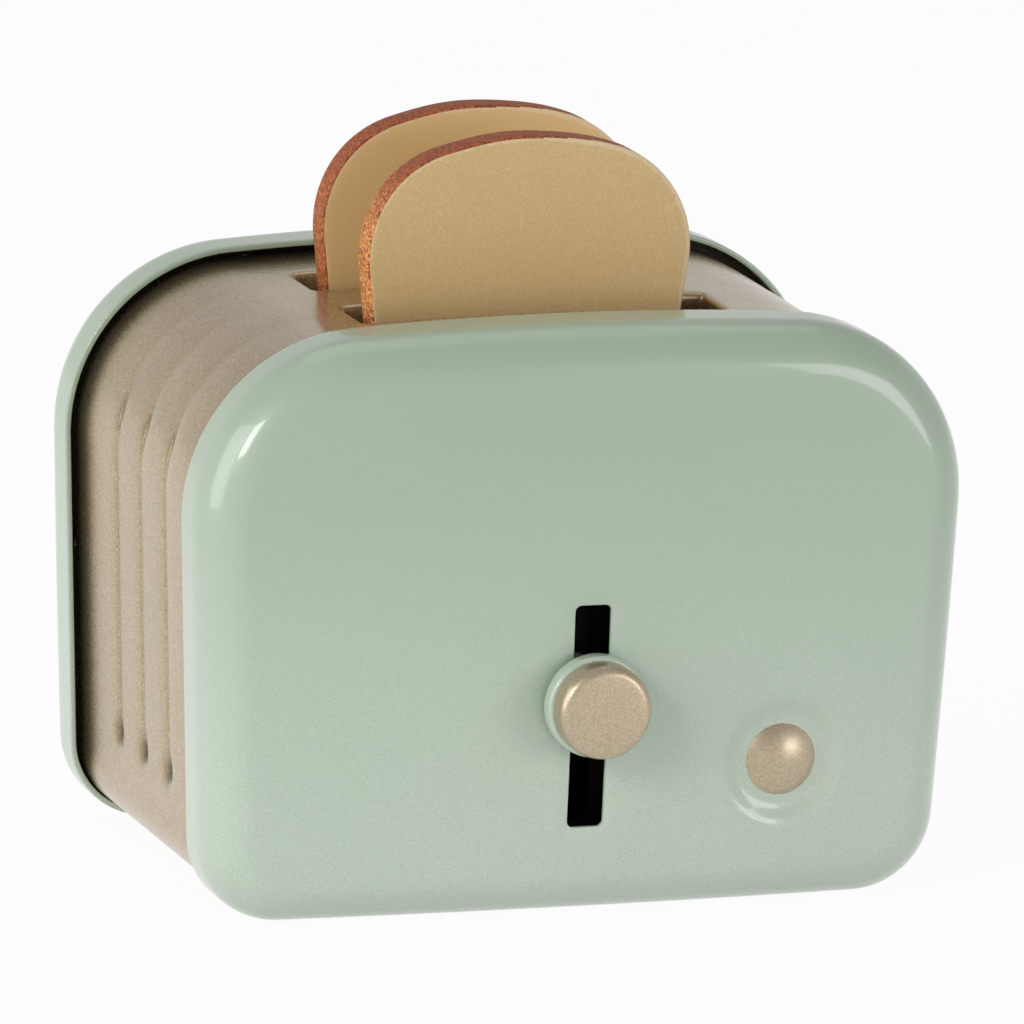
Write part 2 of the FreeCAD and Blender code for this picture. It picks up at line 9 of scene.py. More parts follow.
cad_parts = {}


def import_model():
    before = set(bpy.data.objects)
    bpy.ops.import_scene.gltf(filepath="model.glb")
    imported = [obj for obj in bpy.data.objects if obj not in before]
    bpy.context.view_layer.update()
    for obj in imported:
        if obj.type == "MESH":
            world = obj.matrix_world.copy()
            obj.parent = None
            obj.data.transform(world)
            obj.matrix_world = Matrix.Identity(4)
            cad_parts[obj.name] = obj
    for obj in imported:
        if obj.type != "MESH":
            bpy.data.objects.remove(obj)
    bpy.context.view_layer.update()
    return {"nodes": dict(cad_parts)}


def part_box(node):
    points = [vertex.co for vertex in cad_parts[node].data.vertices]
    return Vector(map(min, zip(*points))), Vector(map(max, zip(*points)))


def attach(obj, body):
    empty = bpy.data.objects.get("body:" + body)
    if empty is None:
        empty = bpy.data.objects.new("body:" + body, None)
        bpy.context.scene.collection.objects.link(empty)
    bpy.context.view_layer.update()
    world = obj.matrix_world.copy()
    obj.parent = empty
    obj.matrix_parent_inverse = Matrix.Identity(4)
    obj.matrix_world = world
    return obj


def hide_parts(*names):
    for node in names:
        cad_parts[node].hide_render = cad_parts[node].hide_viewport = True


# Looks of the toy toaster: pressed mint covers, champagne wrap, knob and two slices of toy bread.
# Sizes are in millimetres as in the part's own drawing, with y = 0 midway between the covers.
# They become metres, set over the origin, when a mesh is made.

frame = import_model()

MM = 0.001
MIDDLE_Y = 2.075

# Cover outline and pan
COVER_HEIGHT = 46.0
COVER_HALF_FOOT = 29.5
COVER_HALF_HEAD = 31.6
COVER_TOP_RADIUS = 14.0
COVER_FOOT_RADIUS = 6.5
COVER_CROWN_RADIUS = 280.0
RIM_Y = 15.0
RIM_DEPTH = 6.3
DOME_RISE = 0.9
ROLL_RADIUS = 3.8
COVER_SHEET = 0.45
DOME_SPHERE = 450.0
FACE_Y = -(RIM_Y + RIM_DEPTH + DOME_RISE)
FACE_CENTRE_Z = COVER_HEIGHT / 2

# Wrap, its bread slots and its flutes
WRAP_INSET = 1.2
WRAP_SHEET = 0.35
WRAP_OPEN_HALF = 19.0
WRAP_END_Y = RIM_Y + 2.1
SLOT_OFFSET_Y = 6.1
SLOT_HALF_LENGTH = 14.7
SLOT_HALF_WIDTH = 3.0
SLOT_CORNER = 0.5
LIP_ROLL = 0.5
LIP_DROP = 1.5
FLUTE_FIRST_Y = 6.2
FLUTE_PITCH = 6.35
FLUTE_COUNT = 4
CREASE_WIDTH = 0.24
CREASE_DEPTH = 0.16
VALLEY_WIDTH = 1.15
VALLEY_DEPTH = 0.13
FLUTE_LOW_Z = 9.2
FLUTE_HIGH_Z = 34.6
CREASE_END_ABOVE = 0.5
CREASE_END_BELOW = 2.0
VALLEY_END_ABOVE = 0.17
VALLEY_END_BELOW = 1.1
PINCH_DEPTH = 0.42
LOW_NIP = (0.75, 0.85)
HIGH_NIP = (0.36, 1.0)
HIGH_NIP_SHARE = 0.28
# Weight of the high nips in the painted shade of the flutes' pressed ends
HIGH_NIP_SHADE = 2.6
WRAP_FOOT_RADIUS = 4.9
TAB_X = 14.75
TAB_Z = 23.0
TAB_HALF = 1.5
TAB_THICK = 0.28
TAB_REACH = 1.59
TAB_SUNK = 0.1

# Lever slot, dish and knob
LEVER_SLOT_Z = 15.9
LEVER_SLOT_HALF = 8.75
LEVER_SLOT_WIDTH = 2.9
LEVER_SLOT_CORNER = 0.5
LEVER_REST_Z = 17.1
DISH_X = 16.0
DISH_Z = 11.6
DISH_EDGE = 5.5
DISH_FLOOR = 3.2
DISH_DEPTH = 0.60
BOSS_RADIUS = 2.85
BOSS_RISE = 0.92
KNOB_GAP = 0.45
KNOB_INNER = 0.6
SKIRT_RADIUS = 4.0
SKIRT_THICK = 1.5
SKIRT_BACK_EDGE = 0.3
SKIRT_FRONT_EDGE = 0.35
SKIRT_FACE = 2.0
CAP_RADIUS = 3.7
CAP_THICK = 2.2
CAP_EDGE = 0.8
CAP_FOOT = 0.35
CAP_FOOT_RISE = 0.1
CAP_DOME = 0.05
CAP_STEP = 0.06
CAP_RADII = (2.5, 2.1, 1.7, 1.3, 0.9, 0.5)

# Bread slices
SLICE_HEIGHT = 27.6
FRONT_SLICE_X = -1.0
REAR_SLICE_X = -0.7
SLICE_HALF_FOOT = 10.9
SLICE_HALF_HEAD = 14.4
SLICE_TOP_RADIUS = 8.5
SLICE_FOOT_RADIUS = 2.0
SLICE_CROWN_RADIUS = 24.0
SLICE_THICKNESS = 2.4
SLICE_EDGE = 0.22
SLICE_FOOT_Z = 30.62
BARE_EDGE_X = 1.0
BARE_TAPER = 2.0
SLICE_MARGIN = 0.7
SWAY_MEAN = 0.035
SWAY_SWING = 0.03
SWAY_WAVES = 7

# Rivets
RIVET_RADIUS = 1.1
RIVET_HEAD = 0.4
RIVET_SHANK = 0.6
TRAY_RIVET_GRIP = 1.0

# Meshes: softened cut edges, steps of arcs and rows, and the spacing of the filled faces
COVER_CUT_EDGE = 0.09
WRAP_CUT_EDGE = 0.06
SHARP_ANGLE = math.radians(50)
CORNER_STEPS = 8
ROUND_STEPS = 96
WALL_STEPS = 6
ROLL_STEPS = 16
LIP_STEPS = 6
LIP_WALL_STEPS = 3
SLICE_EDGE_STEPS = 4
PLAIN_STEPS = 56
TOP_STEPS = 70
FLUTE_CLEAR = 1.5
FLUTE_STEP = 0.13
FLUTE_STEPS = 10
COVER_COUNTS = (40, 22, 40, 44, 40)
WRAP_COUNTS = (30, 12, 62, 40, 30)
SLICE_COUNTS = (14, 8, 26, 26, 26)
DISH_RADII = (5.8, 5.5, 5.3, 5.05, 4.8, 4.55, 4.3, 4.05, 3.8, 3.55, 3.35, 3.2, 3.05, 2.95, 2.88,
              BOSS_RADIUS, 2.8, 2.7, 2.5, 2.25, 1.95, 1.6, 1.2, 0.8, 0.4)
COVER_SPACING = 1.1
WRAP_SPACING = 1.0
SLICE_SPACING = 1.4
FILL_CLEAR = 0.6
FILL_BOW = 0.0001


ROUND = [(math.cos(a * math.tau / ROUND_STEPS), math.sin(a * math.tau / ROUND_STEPS))
         for a in range(ROUND_STEPS)]


def loaf(height, half_foot, half_head, top_radius, foot_radius, crown_radius, counts, foot_z=0.0):
    """Closed loaf outline from the foot's middle round to the right: points, and the way inwards at each.

    The counts are the steps on half the foot, its arc, the side, the top arc and half the crown.
    """
    lean = math.hypot(half_head - half_foot, height)
    along = np.array([(half_head - half_foot) / lean, height / lean])
    out = np.array([along[1], -along[0]])
    foot = np.array([half_foot, 0.0])
    crown = np.array([0.0, height - crown_radius])
    low = foot - out * foot_radius
    low = low + along * ((foot_radius - low[1]) / along[1])
    start = foot - out * top_radius
    gap = start - crown
    half = gap @ along
    reach = crown_radius - top_radius
    top = start + along * (math.sqrt(half * half - (gap @ gap - reach * reach)) - half)
    turn = top - crown
    side_angle = math.atan2(out[1], out[0])
    crown_angle = math.atan2(turn[1], turn[0])
    points = []
    inward = []
    on_foot, on_foot_arc, on_side, on_top_arc, on_crown = counts
    for i in range(on_foot):
        points.append((low[0] * i / on_foot, 0.0))
        inward.append((0.0, 1.0))
    arcs = [(low, foot_radius, -math.pi / 2, side_angle, on_foot_arc),
            (top, top_radius, side_angle, crown_angle, on_top_arc),
            (crown, crown_radius, crown_angle, math.pi / 2, on_crown)]
    for centre, radius, begin, end, count in arcs:
        if centre is top:
            side_low = low + out * foot_radius
            side_top = top + out * top_radius
            for i in range(on_side):
                points.append(tuple(side_low + (side_top - side_low) * i / on_side))
                inward.append(tuple(-out))
        last = count + 1 if centre is crown else count
        for i in range(last):
            angle = begin + (end - begin) * i / count
            way = np.array([math.cos(angle), math.sin(angle)])
            points.append(tuple(centre + way * radius))
            inward.append(tuple(-way))
    right = np.array(points)
    right_in = np.array(inward)
    left = right[1:-1][::-1] * (-1, 1)
    left_in = right_in[1:-1][::-1] * (-1, 1)
    whole = np.vstack([right, left]) + (0, foot_z)
    return whole, np.vstack([right_in, left_in])


def rounded_box(centre, half_a, half_b, corner, step):
    """Closed loop of a rectangle with round corners."""
    corners = []
    for turn, (sa, sb) in enumerate(((1, -1), (1, 1), (-1, 1), (-1, -1))):
        ma, mb = centre[0] + sa * (half_a - corner), centre[1] + sb * (half_b - corner)
        begin = -math.pi / 2 + turn * math.pi / 2
        angles = [begin + i * math.pi / 2 / CORNER_STEPS for i in range(CORNER_STEPS + 1)]
        corners.append([(ma + corner * math.cos(angle), mb + corner * math.sin(angle)) for angle in angles])
    loop = []
    for here, there in zip(corners, corners[1:] + corners[:1]):
        (ax, ay), (bx, by) = here[-1], there[0]
        count = max(1, round(math.hypot(bx - ax, by - ay) / step))
        loop += here + [(ax + (bx - ax) * i / count, ay + (by - ay) * i / count) for i in range(1, count)]
    return np.array(loop)


def inside(points, loop):
    """Which points lie inside a closed loop."""
    found = np.zeros(len(points), bool)
    nxt = np.roll(loop, -1, axis=0)
    for (ax, ay), (bx, by) in zip(loop, nxt):
        if ay == by:
            continue
        crosses = (ay > points[:, 1]) != (by > points[:, 1])
        at = (bx - ax) * (points[:, 1] - ay) / (by - ay) + ax
        found ^= crosses & (points[:, 0] < at)
    return found


def placed(name, data):
    """New object in the scene."""
    made = bpy.data.objects.new(name, data)
    bpy.context.scene.collection.objects.link(made)
    return made


class Pressing:
    """Points and faces of one pressed or moulded piece, in millimetres."""

    def __init__(self):
        self.points = []
        self.faces = []
        self.paint = []

    def loop(self, coords):
        first = len(self.points)
        self.points.extend(tuple(float(v) for v in c) for c in coords)
        return list(range(first, len(self.points)))

    def face(self, indices, paint=0):
        self.faces.append(tuple(indices))
        self.paint.append(paint)

    def loft(self, low, high, paint=0, closed=True):
        count = len(low)
        for i in range(count if closed else count - 1):
            j = (i + 1) % count
            self.face((low[i], low[j], high[j], high[i]), paint)

    def cap(self, loop, centre, paint=0):
        middle = self.loop([centre])[0]
        for i in range(len(loop)):
            self.face((loop[i], loop[(i + 1) % len(loop)], middle), paint)

    def fill(self, loops, step, place, paint=0):
        """Triangles between an outer loop and holes. Each loop is (flat points, their indices)."""
        outer = loops[0][0]
        low, high = outer.min(0), outer.max(0)
        ga, gb = np.meshgrid(*(np.arange(low[k] + step / 2, high[k], step) for k in (0, 1)))
        grid = np.column_stack([ga.ravel(), gb.ravel()])
        keep = inside(grid, outer)
        for l, _ in loops:
            gap = np.sqrt(((grid[:, None, :] - l[None, :, :]) ** 2).sum(2)).min(1)
            keep &= gap > step * FILL_CLEAR
        for l, _ in loops[1:]:
            keep &= ~inside(grid, l)
        grid = grid[keep]
        middle = (low + high) / 2

        def bow(spots):
            """Bows straight edges outwards a trace, so that no sliver lies along them."""
            off = spots - middle
            return off * (1 - FILL_BOW * off[:, ::-1] ** 2)

        flat = bow(np.vstack([l for l, _ in loops] + [grid]))
        index = [i for _, ids in loops for i in ids] + self.loop([place(a, b) for a, b in grid])
        edges = []
        first = 0
        for l, _ in loops:
            edges += [(first + i, first + (i + 1) % len(l)) for i in range(len(l))]
            first += len(l)
        spots = [Vector(p) for p in flat.tolist()]
        verts, _, tris, origin = delaunay_2d_cdt(spots, edges, [], 0, 1e-7, True)[:4]
        middles = np.array([np.mean([verts[i][:] for i in t], axis=0) for t in tris])
        good = inside(middles, bow(outer))
        for l, _ in loops[1:]:
            good &= ~inside(middles, bow(l))
        for t, ok in zip(tris, good):
            if ok:
                self.face([index[origin[i][0]] for i in t], paint)

    def box(self, low, high):
        corners = [(x, y, z) for x in (low[0], high[0]) for y in (low[1], high[1]) for z in (low[2], high[2])]
        c = self.loop(corners)
        for side in ((0, 1, 3, 2), (4, 6, 7, 5), (0, 4, 5, 1), (2, 3, 7, 6), (0, 2, 6, 4), (1, 5, 7, 3)):
            self.face([c[i] for i in side])

    def make(self, name, materials, outward, merge=0.002):
        """Object at the origin with its faces turned the way that outward says."""
        mesh = bpy.data.meshes.new(name)
        scaled = [(x * MM, (y + MIDDLE_Y) * MM, z * MM) for x, y, z in self.points]
        mesh.from_pydata(scaled, [], self.faces)
        mesh.polygons.foreach_set("material_index", self.paint)
        for material in materials:
            mesh.materials.append(material)
        build = bmesh.new()
        build.from_mesh(mesh)
        bmesh.ops.remove_doubles(build, verts=build.verts, dist=merge * MM)
        bmesh.ops.recalc_face_normals(build, faces=build.faces)
        build.normal_update()
        lean = sum(outward(f.calc_center_median()).dot(f.normal) * f.calc_area() for f in build.faces)
        if lean < 0:
            bmesh.ops.reverse_faces(build, faces=build.faces)
        build.to_mesh(mesh)
        build.free()
        mesh.polygons.foreach_set("use_smooth", [True] * len(mesh.polygons))
        return placed(name, mesh)


def finish_mesh(piece):
    """Turns the result of a piece's modifiers into its plain mesh."""
    bpy.context.view_layer.update()
    ready = piece.evaluated_get(bpy.context.evaluated_depsgraph_get())
    mesh = bpy.data.meshes.new_from_object(ready)
    piece.modifiers.clear()
    piece.data = mesh
    mesh.name = piece.name
    mesh.polygons.foreach_set("use_smooth", [True] * len(mesh.polygons))
    mesh.set_sharp_from_angle(angle=SHARP_ANGLE)
    return piece


def thicken(piece, sheet, edge):
    """Gives a pressed surface its sheet, inwards, with softened cut edges."""
    wall = piece.modifiers.new("sheet", "SOLIDIFY")
    wall.thickness = sheet * MM
    wall.offset = -1.0
    wall.use_even_offset = True
    soft = piece.modifiers.new("cut edge", "BEVEL")
    soft.width = edge * MM
    soft.segments = 2
    soft.limit_method = "ANGLE"
    soft.angle_limit = math.radians(55)
    soft.use_clamp_overlap = True


# Node helpers

def feed(tree, source, target):
    """Links an output to an input, or sets a plain value."""
    if isinstance(source, bpy.types.NodeSocket):
        tree.links.new(source, target)
    else:
        target.default_value = source


def node(tree, kind, inputs=None, **settings):
    """New node with its settings, and its inputs fed by name or number."""
    made = tree.nodes.new(kind)
    for key, value in settings.items():
        setattr(made, key, value)
    for label, source in (inputs or {}).items():
        feed(tree, source, made.inputs[label])
    return made


def calc(tree, operation, *values, clamp=False):
    """One math node and its result."""
    made = node(tree, "ShaderNodeMath", dict(enumerate(values)), operation=operation, use_clamp=clamp)
    return made.outputs[0]


def ramp_between(tree, value, low, high, to_low=0.0, to_high=1.0):
    """Smooth step from one value to another."""
    sockets = {"Value": value, "From Min": low, "From Max": high, "To Min": to_low, "To Max": to_high}
    return node(tree, "ShaderNodeMapRange", sockets, interpolation_type="SMOOTHSTEP").outputs["Result"]


def blend_colour(tree, mask, first, second):
    """Mix of two colours by a mask."""
    return node(tree, "ShaderNodeMix", {0: mask, 6: first, 7: second}, data_type="RGBA").outputs[2]


def noise(tree, vector, scale, detail=2.0, roughness=0.5):
    sockets = {"Vector": vector, "Scale": scale, "Detail": detail, "Roughness": roughness}
    return node(tree, "ShaderNodeTexNoise", sockets).outputs["Fac"]


def axis(tree, vector, label):
    """The x, y or z of a vector."""
    return node(tree, "ShaderNodeSeparateXYZ", {0: vector}).outputs[label]


def cells(tree, vector, scale):
    """Cells of random size: the distance from each one's middle, and its own random values."""
    made = node(tree, "ShaderNodeTexVoronoi", {"Vector": vector, "Scale": scale}, feature="F1")
    return made.outputs["Distance"], node(tree, "ShaderNodeSeparateColor", {0: made.outputs["Color"]}).outputs


def effect(name, inputs, outputs):
    """Empty shader node group on a vector, with its inputs' values and its value outputs, and its two ends."""
    tree = bpy.data.node_groups.new(name, "ShaderNodeTree")
    tree.interface.new_socket(name="Vector", in_out="INPUT", socket_type="NodeSocketVector")
    for label, value in inputs:
        kind = "NodeSocketVector" if isinstance(value, tuple) else "NodeSocketFloat"
        tree.interface.new_socket(name=label, in_out="INPUT", socket_type=kind).default_value = value
    for label in outputs:
        tree.interface.new_socket(name=label, in_out="OUTPUT", socket_type="NodeSocketFloat")
    return tree, node(tree, "NodeGroupInput").outputs, node(tree, "NodeGroupOutput").inputs


def grain_effect():
    """Grain of sprayed or stoved paint: a height, sparse specks, a slow drift of tone and a fine mottle."""
    tree, given, out = effect("paint_grain", [("Scale", 2600.0), ("Speck Share", 0.04), ("Speck Size", 0.32)],
                              ["Height", "Speck", "Drift", "Tone"])
    place, scale = given["Vector"], given["Scale"]
    fine = noise(tree, place, scale, 3.0, 0.6)
    coarse = noise(tree, place, calc(tree, "MULTIPLY", scale, 0.22), 2.0, 0.5)
    feed(tree, calc(tree, "ADD", calc(tree, "MULTIPLY", fine, 0.6), calc(tree, "MULTIPLY", coarse, 0.4)),
         out["Height"])
    cell_scale = calc(tree, "MULTIPLY", scale, 0.9)
    distance, pick = cells(tree, place, cell_scale)
    chosen = calc(tree, "LESS_THAN", pick[0], given["Speck Share"])
    near = ramp_between(tree, distance, given["Speck Size"], calc(tree, "MULTIPLY", given["Speck Size"], 0.4))
    feed(tree, calc(tree, "MULTIPLY", chosen, near), out["Speck"])
    feed(tree, noise(tree, place, 70.0, 2.0, 0.5), out["Drift"])
    feed(tree, ramp_between(tree, noise(tree, place, cell_scale, 1.0, 0.4), 0.36, 0.64), out["Tone"])
    return tree


def flake_effect():
    """Metallic flake: a sparkle value for each flake, and the lacquer's orange peel as a height."""
    tree, given, out = effect("metal_flake", [("Flake Scale", 5200.0), ("Peel Scale", 1400.0)],
                              ["Sparkle", "Height", "Drift"])
    place = given["Vector"]
    _, pick = cells(tree, place, given["Flake Scale"])
    feed(tree, pick[0], out["Sparkle"])
    peel = calc(tree, "MULTIPLY", noise(tree, place, given["Peel Scale"], 2.0, 0.55), 0.78)
    feed(tree, calc(tree, "ADD", peel, calc(tree, "MULTIPLY", pick[1], 0.22)), out["Height"])
    feed(tree, noise(tree, place, 110.0, 3.0, 0.5), out["Drift"])
    return tree


def wear_effect():
    """Paint rubbed thin along the outer edges, broken up so that it isn't a clean line."""
    tree, given, out = effect("edge_wear", [("Start", 0.56), ("End", 0.66), ("Break Up", 900.0)], ["Mask"])
    shape = node(tree, "ShaderNodeNewGeometry")
    edge = ramp_between(tree, shape.outputs["Pointiness"], given["Start"], given["End"])
    patchy = ramp_between(tree, noise(tree, given["Vector"], given["Break Up"], 3.0, 0.6), 0.38, 0.62)
    feed(tree, calc(tree, "MULTIPLY", edge, patchy), out["Mask"])
    return tree


def scratch_effect():
    """Fine scratches and draw lines: noise stretched along one direction."""
    tree, given, out = effect("hair_lines", [("Stretch", (1.0, 1.0, 1.0)), ("Turn", (0.0, 0.0, 0.0)),
                                             ("Thin", 0.66)], ["Lines", "Brush"])
    place = node(tree, "ShaderNodeMapping", {"Vector": given["Vector"], "Rotation": given["Turn"],
                                             "Scale": given["Stretch"]})
    drawn = noise(tree, place.outputs[0], 1.0, 2.0, 0.6)
    feed(tree, ramp_between(tree, drawn, given["Thin"], calc(tree, "ADD", given["Thin"], 0.05)), out["Lines"])
    feed(tree, drawn, out["Brush"])
    return tree


GRAIN = grain_effect()
FLAKE = flake_effect()
WEAR = wear_effect()
LINES = scratch_effect()


def colour(red, green, blue):
    """Linear colour from screen values of 0 to 255."""
    def one(v):
        v /= 255
        return v / 12.92 if v <= 0.04045 else ((v + 0.055) / 1.055) ** 2.4
    return (one(red), one(green), one(blue), 1.0)


class Finish:
    """One material with its shader, and the steps that most finishes share."""

    def __init__(self, name, metallic=0.0, coat=0.0, coat_roughness=0.1, level=0.5):
        self.material = bpy.data.materials.new(name)
        self.material.use_nodes = True
        self.tree = self.material.node_tree
        self.shader = next(n for n in self.tree.nodes if n.type == "BSDF_PRINCIPLED")
        self.place = node(self.tree, "ShaderNodeTexCoord").outputs["Object"]
        self.set("Metallic", metallic)
        self.set("Coat Weight", coat)
        self.set("Coat Roughness", coat_roughness)
        self.set("Specular IOR Level", level)

    def set(self, socket, value):
        feed(self.tree, value, self.shader.inputs[socket])

    def effect(self, group, **values):
        """The outputs of an effect at the object's own coordinates."""
        sockets = {name.replace("_", " "): value for name, value in values.items()}
        return node(self.tree, "ShaderNodeGroup", {"Vector": self.place, **sockets}, node_tree=group).outputs

    def axis(self, label):
        return axis(self.tree, self.place, label)

    def own(self, name):
        """A value that the mesh carries."""
        return node(self.tree, "ShaderNodeAttribute", attribute_name=name).outputs["Fac"]

    def calc(self, operation, *values, clamp=False):
        return calc(self.tree, operation, *values, clamp=clamp)

    def ramp(self, value, low, high):
        return ramp_between(self.tree, value, low, high)

    def mix(self, mask, first, second):
        return blend_colour(self.tree, mask, first, second)

    def over(self, tone, mask, share, shade):
        """Lays a shade over a tone where a mask says, with a share of its strength."""
        return self.mix(self.calc("MULTIPLY", mask, share), tone, colour(*shade))

    def finish(self, tone, rough, swing, pattern, height, depth_mm, strength):
        """Sets the tone, a roughness that swings as a 0 to 1 pattern does, and a bump."""
        self.set("Base Color", tone)
        way = self.calc("MULTIPLY", self.calc("SUBTRACT", pattern, 0.5), 2 * swing)
        self.set("Roughness", self.calc("ADD", way, rough, clamp=True))
        sockets = {"Strength": strength, "Distance": depth_mm * MM, "Height": height}
        self.set("Normal", node(self.tree, "ShaderNodeBump", sockets).outputs[0])
        return self.material


def mint_enamel():
    """Glossy stoved enamel on pressed tin, painted lighter towards the foot and darker towards the top as
    painted light and shade.
    """
    look = Finish("mint_enamel", coat=0.6, coat_roughness=0.05)
    grain = look.effect(GRAIN, Scale=10500.0, Speck_Share=0.02)
    # Painted light and shade: the enamel runs from a lighter colour at the foot to a darker one at the top.
    shade_by_height = look.ramp(look.axis("Z"), 0.004, 0.046)
    tone = look.mix(shade_by_height, colour(199, 211, 195), colour(158, 175, 152))
    tone = look.over(tone, grain["Drift"], 0.4, (176, 192, 172))
    tone = look.over(tone, grain["Tone"], 0.38, (157, 175, 153))
    tone = look.over(tone, grain["Speck"], 0.25, (116, 134, 116))
    tone = look.over(tone, look.effect(WEAR, Start=0.60, End=0.72)["Mask"], 0.45, (205, 214, 203))
    return look.finish(tone, 0.30, 0.06, grain["Height"], grain["Height"], 0.006, 0.30)


def champagne(name, base, dark, bright, flakes, peel, rough, metallic, rear_rim_shade=0.0):
    """Champagne metallic lacquer with fine flake and painted glints, darker as painted shade in its pressed
    ends and in a band at the rear rim.
    """
    look = Finish(name, metallic=metallic, coat=0.3, coat_roughness=0.12)
    flake = look.effect(FLAKE, Flake_Scale=flakes, Peel_Scale=peel)
    rear_rim = (RIM_Y + MIDDLE_Y) * MM
    tone = look.over(colour(*base), flake["Drift"], 0.35, dark)
    # Painted glints: the brightest flakes are painted lighter, and the darkest are painted darker.
    tone = look.over(tone, look.ramp(flake["Sparkle"], 0.55, 1.0), 0.45, bright)
    tone = look.over(tone, look.ramp(flake["Sparkle"], 0.28, 0.0), 0.45, dark)
    # Painted shade: a dark band on the wrap where it meets the rear cover's rim, for the shadow in the gap.
    rim_shade = look.ramp(look.axis("Y"), rear_rim - 0.0030, rear_rim + 0.0002)
    tone = look.over(tone, rim_shade, rear_rim_shade, (86, 80, 60))
    # Painted shade: darker where the flutes' ends are pressed in, for the shade in those dimples.
    tone = look.mix(look.own("pressed"), tone, colour(58, 51, 35))
    return look.finish(tone, rough, 0.07, flake["Height"], flake["Height"], 0.008, 0.45)


def bare_metal(name, stretch, scale, share, dark, light, bloom, speck, rough, swing, depth_mm, strength,
               grainy=False):
    """Bare metal with lines along its short stretch, specks, and a dull bloom where one is given."""
    look = Finish(name, metallic=1.0)
    brush = look.effect(LINES, Stretch=stretch)["Brush"]
    grain = look.effect(GRAIN, Scale=scale, Speck_Share=share)
    tone = look.mix(brush, colour(*dark), colour(*light))
    if bloom:
        tone = look.over(tone, grain["Drift"], 0.5, bloom)
    tone = look.over(tone, grain["Speck"], 0.5, speck)
    pattern = grain["Height"] if grainy else brush
    return look.finish(tone, rough, swing, pattern, brush, depth_mm, strength)


def moulded_nylon():
    """Natural nylon of the guide shoe."""
    look = Finish("nylon", level=0.45)
    grain = look.effect(GRAIN, Scale=1800.0, Speck_Share=0.02)
    tone = look.mix(grain["Drift"], colour(236, 232, 220), colour(226, 221, 206))
    tone = look.over(tone, grain["Speck"], 0.3, (190, 182, 166))
    return look.finish(tone, 0.55, 0.07, grain["Height"], grain["Height"], 0.02, 0.5)


def bread_face():
    """Painted crumb side of a slice: warm tan with a fine sugar grain, light scratches, a pale ragged line
    along the edge that is part bare paint and part painted highlight, and painted light that makes the rear
    slice's face lighter.
    """
    look = Finish("bread_face", level=0.45, coat=0.12, coat_roughness=0.35)
    grain = look.effect(GRAIN, Scale=8200.0, Speck_Share=0.16)
    crumb = look.effect(GRAIN, Scale=2600.0, Speck_Share=0.06)
    marks = [look.effect(LINES, Stretch=(2600.0, 2600.0, 130.0), Turn=(0.0, 0.75, 0.0), Thin=0.70)["Lines"],
             look.effect(LINES, Stretch=(2200.0, 2200.0, 110.0), Turn=(0.0, -0.5, 0.0), Thin=0.72)["Lines"]]
    scratched = look.calc("MAXIMUM", *marks)
    # Pale ragged line along the edge: part bare paint edge, part painted highlight.
    ragged = look.calc("MULTIPLY", noise(look.tree, look.place, 900.0, 5.0, 0.9), 0.95)
    pale = look.ramp(look.calc("ADD", look.own("from_edge"), ragged), 0.98, 0.78)
    tone = look.mix(grain["Drift"], colour(210, 181, 129), colour(204, 172, 117))
    tone = look.over(tone, grain["Tone"], 0.42, (186, 152, 98))
    tone = look.over(tone, grain["Speck"], 0.55, (230, 212, 166))
    tone = look.over(tone, crumb["Speck"], 0.22, (168, 136, 88))
    # Painted light: the rear slice's face is made lighter and warmer, against the shade that the front slice
    # casts on it.
    tone = look.over(tone, look.ramp(look.axis("Y"), 0.0, 0.004), 0.6, (232, 190, 130))
    tone = look.over(tone, scratched, 0.16, (228, 216, 184))
    tone = look.over(tone, pale, 0.42, (230, 208, 178))
    height = look.calc("ADD", grain["Height"], look.calc("MULTIPLY", scratched, 0.4))
    return look.finish(tone, 0.46, 0.08, grain["Height"], height, 0.012, 0.5)


def bread_crust():
    """Painted crust: red-brown above, orange-brown and speckled down the sides, redder on the rear slice."""
    look = Finish("bread_crust", level=0.25)
    grain = look.effect(GRAIN, Scale=5000.0, Speck_Share=0.40, Speck_Size=0.60)
    fine = look.effect(GRAIN, Scale=7600.0, Speck_Share=0.30, Speck_Size=0.60)
    upper = look.ramp(look.axis("Z"), 0.049, 0.0565)
    rear = look.ramp(look.axis("Y"), 0.0, 0.004)
    light = look.mix(upper, look.mix(rear, colour(238, 168, 98), colour(190, 108, 60)), colour(174, 98, 62))
    deep = look.mix(upper, look.mix(rear, colour(158, 84, 40), colour(142, 72, 38)), colour(128, 64, 38))
    tone = look.mix(grain["Tone"], light, deep)
    tone = look.over(tone, fine["Speck"], 0.60, (108, 52, 28))
    pale = look.mix(upper, colour(240, 196, 132), light)
    tone = look.mix(look.calc("MULTIPLY", grain["Speck"], 0.35), tone, pale)
    height = look.calc("ADD", grain["Height"], fine["Speck"])
    return look.finish(tone, 0.62, 0.1, grain["Height"], height, 0.03, 0.6)


MINT = mint_enamel()
WRAP_PAINT = champagne("champagne_paint", (183, 163, 131), (142, 122, 92), (221, 203, 171),
                       8500.0, 2200.0, 0.28, 0.85, rear_rim_shade=0.55)
KNOB_PAINT = champagne("champagne_knob", (186, 168, 142), (158, 139, 110), (220, 204, 178),
                       13000.0, 5200.0, 0.36, 0.6)
